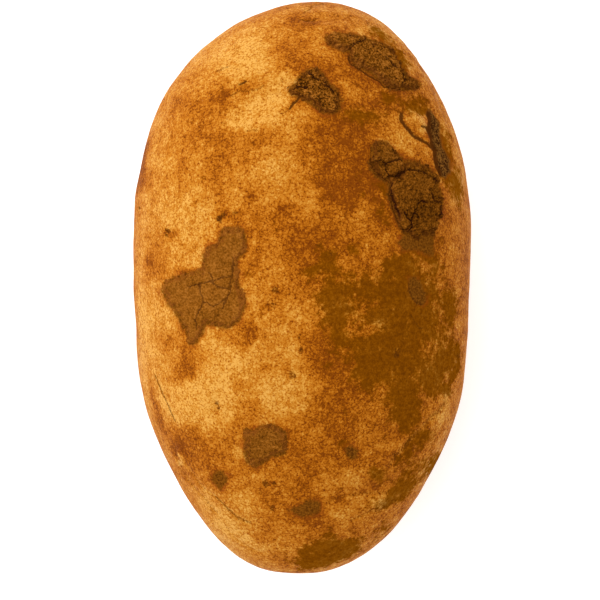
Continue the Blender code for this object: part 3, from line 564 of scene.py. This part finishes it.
# Outlines of thin films of dried mud, which also reach a little past each cake
PAST_THE_CAKE = 0.5
NO_FILM = -5
FILMS = (
    CRUMBS,
    ((20, 12.6), (21.5, 10.6), (24.9, 10.4), (26.2, 9.3), (28, 9), (28.5, 12.8), (28.3, 16), (22, 14)),
    (
        (22.9, 4.6), (24.3, 5), (25.6, 3.6), (26.6, 1.4), (26.8, -0.4), (26, -1.4), (24.6, -1.2),
        (23.4, 0.2), (22.7, 2.2),
    ),
    (
        (-18.9, -37.2), (-17.8, -36), (-16.4, -35.7), (-15.2, -36.9), (-15.4, -38.6), (-16.3, -39.9),
        (-18, -38.6),
    ),
    ((-2.7, -44), (-0.5, -43), (1.2, -42), (4.3, -42), (4.6, -44.3), (2.5, -45.3), (0, -45.6)),
    ((9.5, -30.6), (11, -30.2), (12.4, -31.4), (12.2, -33), (10.9, -33.4), (9.8, -32.5)),
)
# Cakes of soil by where they lie: thickness, paleness, grittiness, outline, and the cracks across them
CAKES = {
    "soil_crown": (0.8, 0.3, 1.3, (
        (-2.3, 44), (-1.6, 44.6), (-0.6, 45.6), (0.2, 47), (1.5, 48.1), (3, 48.5), (4.6, 47.4),
        (6, 45.4), (7.5, 43.9), (8, 42), (8.3, 40), (6.9, 39.4), (4.8, 39.7), (3.2, 40.9), (1.7, 41.9),
        (-0.4, 42.8), (-1.7, 43.3),
    ), (
        ((-1.8, 44.8), (-0.2, 44.2), (1.6, 44.6)),
        ((5.2, 45.6), (6.2, 44.4), (6.9, 43.4)),
        ((1.8, 47.6), (2.8, 46.4), (4, 46.2)),
    )),
    "soil_shoulder": (0.75, 0.4, 1.15, (
        (5.7, 55.5), (8.4, 56), (10.9, 55.6), (13.2, 55), (16.2, 54), (17.9, 53), (19.5, 51.4),
        (21, 49.2), (22.6, 46.6), (25, 45.2), (23.9, 44.5), (18.9, 44.5), (16.9, 46.4), (14.9, 47.7),
        (12, 49), (10.9, 50.4), (10.3, 52.1), (7.6, 53.2), (6.3, 53.8), (5.7, 54.6),
    ), (
        ((9.9, 52.2), (11.3, 53.4), (13.4, 54.2)),
        ((17.6, 50.9), (18.7, 49.4), (20.2, 48.5)),
        ((21, 45), (21.8, 46.2), (23, 46.5)),
    )),
    "soil_side_upper": (0.9, 0.35, 0.75, (
        (15.2, 32.3), (16.3, 33.2), (17.9, 33.2), (18.9, 31.8), (20.7, 30.2), (21.8, 28.9),
        (21.5, 27.2), (20.4, 26.4), (19.2, 26), (17.6, 25.4), (16, 26), (15.1, 27.6), (14.9, 28.9),
        (15.5, 30.2),
    ), (
        ((18, 28.6), (17.9, 27.3), (18.5, 26.1), (19.7, 25.9)),
        ((18, 28.6), (18.8, 29.2), (20.5, 29.5), (21.5, 28.8)),
        ((15.3, 30.5), (15.7, 29), (17, 28.9), (18, 28.6)),
        ((19.7, 25.9), (20.8, 26.6), (21.6, 27.4)),
    )),
    # This cake's low paleness is partly painted shade, for its place on the side turned from the soft box
    "soil_side_lower": (0.9, 0.2, 0.75, (
        (18.7, 25.3), (20.5, 26.2), (21.8, 27.8), (22.6, 28.9), (24.9, 28.6), (26.8, 27.5), (28.4, 26),
        (28.8, 23.6), (29.6, 21.3), (29.7, 20), (29.2, 17.6), (28.3, 16.6), (28, 14.4), (26, 13.6),
        (24.2, 13), (22, 14), (21.2, 15), (20.5, 16.8), (19.7, 18.9), (18.8, 21), (18.6, 22.9),
    ), (
        ((19.6, 25.8), (21, 26.4), (22.3, 27.1), (24.2, 26.9), (25.4, 26.7), (26.5, 25.7)),
        ((21.2, 18.7), (21.8, 17.6), (22.8, 16.8), (23, 15.5), (22.2, 14.4)),
        ((22.9, 16.8), (23.6, 18.4), (24.4, 20), (25.2, 20.8), (26.3, 20.5)),
        ((26.8, 23.1), (27.3, 22), (27.9, 21), (28.9, 20.5)),
        ((27.9, 25.2), (28.3, 24.2), (28.5, 22.9), (29.2, 21.3), (29.3, 20), (28.9, 17.8)),
        ((19.2, 24.4), (19, 22.9), (19.3, 21), (20.2, 18.9), (20.9, 16.8)),
    )),
    "soil_flank": (0.4, 0.9, 0.6, (
        (-28.6, 2.2), (-28, 3.8), (-26, 4.8), (-23, 5.4), (-20.3, 6), (-20, 9.5), (-19, 11.2),
        (-17, 11.5), (-16.5, 14), (-15.5, 15), (-12.5, 15), (-11.5, 13), (-11.5, 10.5), (-13, 9),
        (-13.3, 5), (-13, 2.5), (-12, 1.5), (-11.8, -1), (-12.8, -4), (-15, -5.5), (-17.5, -5.2),
        (-20, -4.8), (-20.8, -7), (-22, -9), (-23, -9), (-23.5, -6.5), (-24.8, -4.5), (-26, -2.5),
        (-27.5, -0.5),
    ), (
        ((-14, 9), (-13.9, 7.6), (-14.3, 5.2), (-14.5, 2.9), (-15.2, 0.5), (-16, -1.6)),
        ((-23.1, 2.9), (-20.8, 3.4), (-18.9, 4), (-16.8, 4.7), (-14.3, 4.7)),
        ((-20.2, -0.4), (-21, -2.1), (-21.8, -4), (-21.5, -5.7)),
        ((-18.9, 5.8), (-18.1, 3.7), (-16.6, 2.6), (-14.8, 2.4)),
        ((-20.2, -0.4), (-17.9, -1.1), (-15.8, 0)),
        ((-20.2, -0.4), (-20.6, 1.6), (-20.8, 3.4)),
    )),
    "soil_heel": (0.35, 0.7, 0.65, (
        (-11.4, -27.2), (-11.3, -34), (-9.2, -34.8), (-6.4, -32.8), (-3.2, -31.9), (-3.4, -27.9),
        (-5.5, -26.3), (-7.6, -26.4), (-9.9, -27.6),
    ), ()),
}
# Cork lies everywhere, in patches that are stronger on the lower side: size, seed and strength
CORK_EVERYWHERE = 0.37
CORK_PATCHES = ((16, 3, 0.6), (7, 4, 0.4), (3, 6, 0.2))
PATCHY_BELOW, PATCHY_ABOVE = 0.6, 0.3
CORK_STRENGTH = 0.5
CORK_RANGE = 0.5
CORK_BY_FILM, FILM_SIDE = 0.25, (-1.6, 0.5)
# Soil has stained the lower side in blotches of its own, and stains least where the skin is bare
LOWER_STAIN_SIZE, LOWER_STAIN_SEED, LOWER_STAIN_EDGE = 12, 9, (0.25, 0.7)
BARE_KEEPS_CLEAN, MOST_STAIN = 0.4, 1.3

# Pale blots are bare skin and painted highlights, and both take cork and stain away
pale = blots(PALE_AND_LIT)
patchy = sum(cloud(points, size, seed) * strength for size, seed, strength in CORK_PATCHES)
cork_with_painted_shading = CORK_EVERYWHERE + patchy * (PATCHY_BELOW + (PATCHY_ABOVE - PATCHY_BELOW) * upper)
cork_with_painted_shading += CORK_STRENGTH * (blots(CORKY_AND_SHADED) - pale)
lower_stain = soft_step(cloud(points, LOWER_STAIN_SIZE, LOWER_STAIN_SEED), *LOWER_STAIN_EDGE)
stain_with_painted_shading = blots(STAINED_AND_SHADED) - BARE_KEEPS_CLEAN * pale + (1 - upper) * lower_stain
film_seen = seen + wander[:, :2] * FILM_WANDER
film = np.max([depth_inside(film_seen, outline) for outline in FILMS], axis=0)
cake_film = np.max([depth_inside(film_seen, outline) for *_, outline, _ in CAKES.values()], axis=0)
film = np.where(upper > 0.5, np.maximum(film, cake_film + PAST_THE_CAKE), NO_FILM)
# Painted shade over the hollow of each hidden eye is laid in as more cork
cork_with_painted_shading += CORK_BY_FILM * soft_step(film, *FILM_SIDE) + EYE_HOLLOW_SHADE * eyes
keep(skin.data, "cork_with_painted_shading", 0.5 + CORK_RANGE * np.tanh((cork_with_painted_shading - 0.5) / CORK_RANGE))
keep(skin.data, "stain_with_painted_shading", np.clip(stain_with_painted_shading, 0, MOST_STAIN))
keep(skin.data, "film", np.clip(film, NO_FILM, -NO_FILM))


def colour(code):
    """An sRGB hex colour, made linear."""
    parts = [int(code[start:start + 2], 16) / 255 for start in (1, 3, 5)]
    return (*(part / 12.92 if part <= 0.04045 else ((part + 0.055) / 1.055) ** 2.4 for part in parts), 1.0)


def per(size):
    """The scale of a pattern whose features have this size in millimetres."""
    return 1 / (size * MM)


def add_node(tree, kind, inputs=(), **settings):
    """Adds a node with its settings, and fills its inputs with values or with other nodes' outputs."""
    made = tree.nodes.new("ShaderNode" + kind)
    for name, value in settings.items():
        setattr(made, name, value)
    for socket, value in dict(inputs).items():
        if isinstance(value, bpy.types.NodeSocket):
            tree.links.new(value, made.inputs[socket])
        else:
            made.inputs[socket].default_value = value
    return made


def blend(colour_ramp, stops):
    """Gives a colour ramp its places and colours, the first at nothing."""
    colour_ramp.elements.remove(colour_ramp.elements[1])
    for place, code in stops:
        stop = colour_ramp.elements[0] if place == 0 else colour_ramp.elements.new(place)
        stop.color = colour(code)


def laid_over(tree, under, over, here, pattern, raggedness, bare, covered, most):
    """Lays a colour over another where a kept value says, with an edge that a pattern makes ragged."""
    edge = add_node(
        tree, "Math", {0: pattern.outputs["Fac"], 1: raggedness, 2: here}, operation="MULTIPLY_ADD"
    )
    cover = add_node(
        tree, "MapRange", {"Value": edge.outputs[0], "From Min": bare, "From Max": covered, "To Max": most},
        interpolation_type="SMOOTHSTEP",
    )
    laid = add_node(tree, "Mix", {0: cover.outputs[0], 6: under, 7: over}, data_type="RGBA")
    return laid.outputs[2], cover.outputs[0]


# Potato skin: matt and dry, golden where it is bare and russet where the cork is thick, with a fine
# dark speckle of lenticels and cork cells all over, and painted light and shade in places. Mud films on it
# are duller still.
potato_skin = bpy.data.materials.new("potato_skin")
potato_skin.use_nodes = True
tree = potato_skin.node_tree
where = add_node(tree, "TexCoord").outputs["Object"]
cork_with_painted_shading_here, stain_with_painted_shading_here, film_here, painted_shade_and_scars_here, crumbly_here, crumb_light_and_shade_here = (
    add_node(tree, "Attribute", attribute_name=name).outputs["Fac"]
    for name in ("cork_with_painted_shading", "stain_with_painted_shading", "film", "painted_shade_and_scars", "crumbly", "crumb_light_and_shade")
)

# Cork grows in blotches, grains and fibres along the tuber. Its cells and the lenticels between them
# are a tenth of a millimetre or less, and are drawn four times as coarse, so that they show.
BLOTCH, GRAIN, FLECK, FIBRE, NET_CELL = 3, 0.9, 0.38, 0.6, 0.95
STIRRED_BY = 0.7 * MM
ALONG_FIBRES = 0.3
mottle = add_node(tree, "TexNoise", {"Vector": where, "Scale": per(BLOTCH), "Detail": 6, "Roughness": 0.75})
grain = add_node(tree, "TexNoise", {"Vector": where, "Scale": per(GRAIN), "Detail": 3, "Roughness": 0.7})
fleck = add_node(tree, "TexNoise", {"Vector": where, "Scale": per(FLECK), "Detail": 2, "Roughness": 0.6})
stirred = add_node(tree, "VectorMath", {0: grain.outputs["Color"], "Scale": STIRRED_BY}, operation="SCALE")
stirred = add_node(tree, "VectorMath", {0: where, 1: stirred.outputs[0]}, operation="ADD")
cells = add_node(
    tree, "TexVoronoi", {"Vector": stirred.outputs[0], "Scale": per(NET_CELL)}, feature="DISTANCE_TO_EDGE"
)
threads = add_node(
    tree, "MapRange", {"Value": cells.outputs["Distance"], "From Min": 0.12, "From Max": 0.0, "To Max": 0.26},
    interpolation_type="SMOOTHSTEP",
)
lengthwise = add_node(tree, "Mapping", {"Vector": where, "Scale": (1, ALONG_FIBRES, 1)}, vector_type="POINT")
fibre = add_node(
    tree, "TexNoise", {"Vector": lengthwise.outputs[0], "Scale": per(FIBRE), "Detail": 2, "Roughness": 0.6}
)

# How thick the cork is at each spot, with painted light and shade laid in with it, from what is kept on the
# mesh and these patterns
cork_with_painted_shading_cover = add_node(tree, "Math", {0: cork_with_painted_shading_here, 1: threads.outputs[0]}, operation="ADD").outputs[0]
for pattern, strength in ((mottle, 1.5), (grain, 0.9), (fleck, 1.1), (fibre, 0.5)):
    centred = add_node(
        tree, "Math", {0: pattern.outputs["Fac"], 1: strength, 2: -strength / 2}, operation="MULTIPLY_ADD"
    )
    cork_with_painted_shading_cover = add_node(tree, "Math", {0: centred.outputs[0], 1: cork_with_painted_shading_cover}, operation="ADD").outputs[0]
bare_to_cork = add_node(tree, "ValToRGB", {"Fac": cork_with_painted_shading_cover})
BARE_TO_CORK = ((0, "#d59b46"), (0.25, "#c28129"), (0.5, "#b66b14"), (0.75, "#9e5504"), (1, "#7a3b02"))
blend(bare_to_cork.color_ramp, BARE_TO_CORK)

# Dark flecks of lenticels on the whole skin
flecks = add_node(
    tree, "MapRange", {"Value": fleck.outputs["Fac"], "From Min": 0.52, "From Max": 0.72, "To Max": 0.75},
    interpolation_type="SMOOTHSTEP",
)
flecked = add_node(
    tree, "Mix", {0: flecks.outputs[0], 6: bare_to_cork.outputs[0], 7: colour("#c29a68")},
    data_type="RGBA", blend_type="MULTIPLY",
)

# Soil stains, partly painted shade on the right side, whose edges follow the blotches and grains of the skin
stain_tone = add_node(tree, "MapRange", {"Value": grain.outputs["Fac"], "From Min": 0.3, "From Max": 0.7})
stain_colour = add_node(
    tree, "Mix", {0: stain_tone.outputs[0], 6: colour("#784302"), 7: colour("#5c3002")}, data_type="RGBA"
)
blotchy_stain_and_shade = add_node(
    tree, "Math", {0: mottle.outputs["Fac"], 1: 3, 2: stain_with_painted_shading_here}, operation="MULTIPLY_ADD"
)
stained_and_shaded, stain_with_painted_shading_cover = laid_over(
    tree, flecked.outputs[2], stain_colour.outputs[2], blotchy_stain_and_shade.outputs[0], grain, 1.3, 2.4, 3.2, 0.8
)

# A reddish halo where damp soil has dried at the edge of a film or cake
reddened, _ = laid_over(tree, stained_and_shaded, colour("#94440e"), film_here, mottle, 6, 2.2, 3.9, 0.5)

# Thin films of mud, speckled
film_speckle = add_node(tree, "MapRange", {"Value": fleck.outputs["Fac"], "From Min": 0.35, "From Max": 0.65})
film_tone = add_node(
    tree, "Mix", {0: film_speckle.outputs[0], 6: colour("#7c4a10"), 7: colour("#4a2806")}, data_type="RGBA"
)
filmed, film_cover = laid_over(tree, reddened, film_tone.outputs[2], film_here, grain, 1.6, 0.4, 1.3, 0.9)

# Crumbs in the deepest fold, with painted light on the higher ones and painted shade between them
crumb_painted_light = add_node(
    tree, "Math", {0: fleck.outputs["Fac"], 1: 1.4, 2: crumb_light_and_shade_here}, operation="MULTIPLY_ADD"
)
crumb_tone_and_light = add_node(
    tree, "MapRange", {"Value": crumb_painted_light.outputs[0], "From Min": 0.5, "From Max": 1.0},
    interpolation_type="SMOOTHSTEP",
)
crumb_colour_and_light = add_node(
    tree, "Mix", {0: crumb_tone_and_light.outputs[0], 6: colour("#341907"), 7: colour("#845520")}, data_type="RGBA"
)
crumbs_lit_and_shaded = add_node(
    tree, "Mix", {0: crumbly_here, 6: filmed, 7: crumb_colour_and_light.outputs[2]}, data_type="RGBA"
)

# Painted shade in folds and under the brows of eyes, and the own dark brown of scratches, scars and buds
shade_and_scars_laid, painted_shade_and_scars_cover = laid_over(
    tree, crumbs_lit_and_shaded.outputs[2], colour("#4c2608"), painted_shade_and_scars_here, fleck, 0.8, 0.55, 1.15, 0.92
)

# Cork and dirt are duller than bare skin, and dirt and the painted shade in folds have no gloss at all
dullness = add_node(tree, "MapRange", {"Value": cork_with_painted_shading_cover, "To Min": 0.55, "To Max": 0.8})
NETTING_DEPTH = 0.12 * MM
netting = add_node(tree, "Math", {0: grain.outputs["Fac"], 1: fleck.outputs["Fac"]}, operation="ADD")
bump = add_node(tree, "Bump", {"Height": netting.outputs[0], "Distance": NETTING_DEPTH, "Strength": 0.6})
dirt_and_shade = painted_shade_and_scars_cover
for more_dirt in (crumbly_here, film_cover, stain_with_painted_shading_cover):
    dirt_and_shade = add_node(tree, "Math", {0: dirt_and_shade, 1: more_dirt}, operation="MAXIMUM").outputs[0]
BARE_GLOSS = 0.04
gloss = add_node(tree, "MapRange", {"Value": dirt_and_shade, "From Max": 0.7, "To Min": BARE_GLOSS, "To Max": 0})
shader = tree.nodes["Principled BSDF"]
tree.links.new(shade_and_scars_laid, shader.inputs["Base Color"])
tree.links.new(dullness.outputs[0], shader.inputs["Roughness"])
tree.links.new(bump.outputs[0], shader.inputs["Normal"])
shader.inputs["Specular IOR Level"].default_value = BARE_GLOSS
tree.links.new(gloss.outputs[0], shader.inputs["Specular IOR Level"])
skin.data.materials.clear()
skin.data.materials.append(potato_skin)
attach(skin, "root")
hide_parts("tuber")

# Cakes of dried soil
# Clay soil that dried on the skin after lifting, in flat crusts up to a millimetre thick. They
# cling by themselves, have ragged, crumbled edges, and have cracked where the crust shrank.
# First the side of a crust's squares, then how its rim thins out and tucks into the skin.
CRUMB_STEP = 0.16
RIM_WIDTH, RIM_SLACK = 0.6, 0.1
TUCKED_IN, TUCKED_WITHIN = 0.35, 0.4
UNDERSIDE = 0.6
SKIRT = 0.7
PALENESS_LIMITS = (-0.7, 1)
ROOM_ROUND = 1.2
# Waves of the ragged edge and of the crumbly top: length, then how far or which share of the thickness
RAGGED_EDGE = ((2.2, 0.8), (1, 0.8), (0.5, 0.7))
CRUMBLY_TOP = ((3, 0.6), (1.2, 0.35), (0.55, 0.3))
# Cracks: half width, the share of the thickness that they cut, and how much they share the edge's waves
CRACK_HALF_WIDTH, CRACK_CUT, CRACK_RAGGEDNESS = 0.2, 0.5, 0.35

# Dried clay soil: dull brown and granular, with dark pits between its crumbs, painted shade in its
# hairline cracks, and a thinner rim where it runs out on the skin, redder on pale soil and darkened with
# painted shade on dark soil
dried_soil = bpy.data.materials.new("dried_clay_soil")
dried_soil.use_nodes = True
tree = dried_soil.node_tree
where = add_node(tree, "TexCoord").outputs["Object"]
crack_here, rim_here, paleness_here, grittiness_here = (
    add_node(tree, "Attribute", attribute_name=name).outputs["Fac"]
    for name in ("crack", "rim", "paleness", "grittiness")
)
CLOD, CRUMB, GRIT = 2.5, 1, 0.4
clods = add_node(tree, "TexNoise", {"Vector": where, "Scale": per(CLOD), "Detail": 5, "Roughness": 0.7})
crumbs = add_node(tree, "TexNoise", {"Vector": where, "Scale": per(CRUMB), "Detail": 5, "Roughness": 0.85})
grit = add_node(tree, "TexNoise", {"Vector": where, "Scale": per(GRIT), "Detail": 2, "Roughness": 0.6})
lightness = add_node(tree, "Math", {0: paleness_here, 1: 0.34, 2: 0.36}, operation="MULTIPLY_ADD")
for pattern, strength in ((clods, 1.5), (crumbs, 1.1), (grit, 2.2)):
    centred = add_node(
        tree, "Math", {0: pattern.outputs["Fac"], 1: strength, 2: -strength / 2}, operation="MULTIPLY_ADD"
    )
    lightness = add_node(
        tree, "Math", {0: centred.outputs[0], 1: grittiness_here, 2: lightness.outputs[0]},
        operation="MULTIPLY_ADD",
    )
pitted = add_node(tree, "ValToRGB", {"Fac": lightness.outputs[0]})
PIT_TO_CRUMB = ((0, "#2c1404"), (0.3, "#643708"), (0.6, "#8a5011"), (1, "#b47028"))
blend(pitted.color_ramp, PIT_TO_CRUMB)

# The thin rim: redder on pale soil, where the skin shows through, and darkened on dark soil with painted
# shade along the crust's edge
rim_tone_and_shade = add_node(
    tree, "Mix", {0: paleness_here, 6: colour("#4a2208"), 7: colour("#96521a")}, data_type="RGBA"
)
rimmed_and_shaded, _ = laid_over(tree, pitted.outputs[0], rim_tone_and_shade.outputs[2], rim_here, crumbs, 1.2, 1.6, 0.7, 0.6)

# Painted shade in the cracks, which shows least in the palest, thinnest soil
crack_depth = add_node(
    tree, "Math", {0: paleness_here, 1: -0.5, 2: 1}, operation="MULTIPLY_ADD", use_clamp=True
)
crack_shade_darkness = add_node(tree, "Math", {0: crack_depth.outputs[0], 1: 0.95}, operation="MULTIPLY")
shaded_cracks, _ = laid_over(
    tree, rimmed_and_shaded, colour("#34140a"), crack_here, crumbs, 0.3, 0.38, 0.22, crack_shade_darkness.outputs[0]
)
CRUMB_DEPTH = 0.6 * MM
bump = add_node(tree, "Bump", {"Height": crumbs.outputs["Fac"], "Distance": CRUMB_DEPTH, "Strength": 1})
shader = tree.nodes["Principled BSDF"]
tree.links.new(shaded_cracks, shader.inputs["Base Color"])
tree.links.new(bump.outputs[0], shader.inputs["Normal"])
shader.inputs["Roughness"].default_value = 0.95
shader.inputs["Specular IOR Level"].default_value = 0.0

# Where the soil is paler or darker than elsewhere in its cake: across, along, radius, paleness
PALER_AND_DARKER = (
    (24.3, 24.3, 2.2, 0.35), (20.9, 17.2, 1, 0.4), (24, 18.2, 2.6, -0.6), (28.3, 22.5, 1.3, -0.3),
    (2.5, 44, 1.5, -0.4), (6.5, 43.4, 1.3, -0.4), (4, 46.5, 1.5, 0.3), (6, 40.8, 1.5, 0.3),
    (8, 53.8, 2.5, 0.3), (15.5, 49, 2.5, 0.3), (13.5, 52.8, 1.5, -0.3), (21, 46, 1.5, -0.2),
    (-25, 2, 3, 0.1), (-14, -2, 2, 0.15), (-21.5, -3, 2.2, -0.35), (-15.5, -3.5, 2.2, -0.3),
    (-23, 3.5, 2, -0.15), (-14.5, 11, 2, -0.15), (-10, -29, 1.5, 0.2), (19.2, 46, 1.2, 0.3),
)


def in_one_piece(squares):
    """The largest group of squares that share sides, less those that touch another at a corner only."""
    squares = squares.copy()
    slanting = np.ones((1, 1), bool)
    while slanting.any():
        a, b, c, d = squares[:-1, :-1], squares[:-1, 1:], squares[1:, :-1], squares[1:, 1:]
        slanting = (a & d & ~b & ~c) | (b & c & ~a & ~d)
        for row, column in np.argwhere(slanting):
            squares[row:row + 2, column:column + 2] = False
    left = {(int(row), int(column)) for row, column in np.argwhere(squares)}
    largest = set()
    while left:
        group, found = set(), [left.pop()]
        while found:
            row, column = found.pop()
            group.add((row, column))
            beside = left & {(row + 1, column), (row - 1, column), (row, column + 1), (row, column - 1)}
            left -= beside
            found += beside
        largest = max(largest, group, key=len)
    return sorted(largest)


grown_skin = surface_of(skin)
for name, (thickness, paleness, grittiness, outline, cracks) in CAKES.items():
    corner_low = np.min(outline, axis=0) - ROOM_ROUND
    corner_high = np.max(outline, axis=0) + ROOM_ROUND
    counts = np.ceil((corner_high - corner_low) / CRUMB_STEP).astype(int) + 1
    flat = np.stack(np.meshgrid(*(corner_low[i] + CRUMB_STEP * np.arange(counts[i]) for i in (0, 1))), 2)
    flat = flat.reshape(-1, 2)
    under = [under_view(grown_skin, *spot) for spot in flat]
    foot = np.array([point for point, _ in under])
    out = np.array([way for _, way in under])
    ragged = np.stack([
        sum(cloud(foot, size, seed) * far for size, far in RAGGED_EDGE) for seed in (51, 61)
    ], 1)
    depth = depth_inside(flat + ragged, outline)
    crack = np.ones(len(flat))
    for line in cracks:
        crack = np.minimum(crack, distance_to_line(flat + ragged * CRACK_RAGGEDNESS, line))
    top = 1 + sum(cloud(foot, size, 81) * share for size, share in CRUMBLY_TOP)
    top -= CRACK_CUT * bell(crack / CRACK_HALF_WIDTH)
    height = soft_step(depth, -RIM_SLACK, RIM_WIDTH) * thickness * top
    height -= TUCKED_IN * soft_step(-depth, 0, TUCKED_WITHIN)
    pale = paleness + sum(
        change * bell(np.linalg.norm(flat - (across, along), axis=1) / radius)
        for across, along, radius, change in PALER_AND_DARKER
    )
    kept = (depth > -SKIRT).reshape(counts[1], counts[0])
    square_kept = kept[:-1, :-1] & kept[:-1, 1:] & kept[1:, :-1] & kept[1:, 1:]
    starts = [row * int(counts[0]) + column for row, column in in_one_piece(square_kept)]
    squares = [(start, start + 1, start + 1 + int(counts[0]), start + int(counts[0])) for start in starts]
    used = sorted({corner for square in squares for corner in square})
    place_of = {corner: place for place, corner in enumerate(used)}
    tops = [tuple(place_of[corner] for corner in square) for square in squares]
    below = len(used)
    unders = [tuple(corner + below for corner in reversed(square)) for square in tops]
    sides = {(a, b) for square in tops for a, b in zip(square, square[1:] + square[:1])}
    walls = [(b, a, a + below, b + below) for a, b in sorted(sides) if (b, a) not in sides]
    upper_face = foot[used] + out[used] * height[used, None] * MM
    lower_face = foot[used] - out[used] * UNDERSIDE * MM
    piece = bpy.data.objects.new(name + "_crust", bpy.data.meshes.new(name + "_crust"))
    piece.data.from_pydata(np.concatenate([upper_face, lower_face]).tolist(), [], tops + unders + walls)
    keep(piece.data, "crack", np.tile(crack[used], 2))
    keep(piece.data, "rim", np.tile(depth[used], 2))
    keep(piece.data, "paleness", np.tile(np.clip(pale[used], *PALENESS_LIMITS), 2))
    keep(piece.data, "grittiness", np.full(2 * below, grittiness))
    piece.data.shade_smooth()
    bpy.context.scene.collection.objects.link(piece)
    piece.data.materials.append(dried_soil)
    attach(piece, "root")
    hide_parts(name)

# Floor and light
# A plain white studio floor under a large soft light from the crown's left, with white all round
# that lights the shaded side and gives the skin its pale edges.
floor = bpy.data.objects.new("floor", bpy.data.meshes.new("floor"))
plate = bmesh.new()
bmesh.ops.create_grid(plate, x_segments=1, y_segments=1, size=3)
plate.to_mesh(floor.data)
plate.free()
bpy.context.scene.collection.objects.link(floor)
white_paper = bpy.data.materials.new("white_paper")
white_paper.use_nodes = True
shader = white_paper.node_tree.nodes["Principled BSDF"]
shader.inputs["Base Color"].default_value = colour("#f7f6f4")
shader.inputs["Roughness"].default_value = 0.9
shader.inputs["Emission Color"].default_value = colour("#ffffff")
shader.inputs["Emission Strength"].default_value = 0.4
floor.data.materials.append(white_paper)

world = bpy.data.worlds.new("white_surround")
world.use_nodes = True
world.node_tree.nodes["Background"].inputs["Color"].default_value = colour("#ffffff")
world.node_tree.nodes["Background"].inputs["Strength"].default_value = 0.8
bpy.context.scene.world = world

key = bpy.data.lights.new("soft_box", "AREA")
key.size = 1.6
key.energy = 12.2
soft_box = bpy.data.objects.new("soft_box", key)
soft_box.location = (-0.5, 0.4, 0.85)
soft_box.rotation_euler = (MIDDLE - soft_box.location).to_track_quat("-Z", "Y").to_euler()
bpy.context.scene.collection.objects.link(soft_box)
bpy.context.scene.view_settings.view_transform = "Standard"
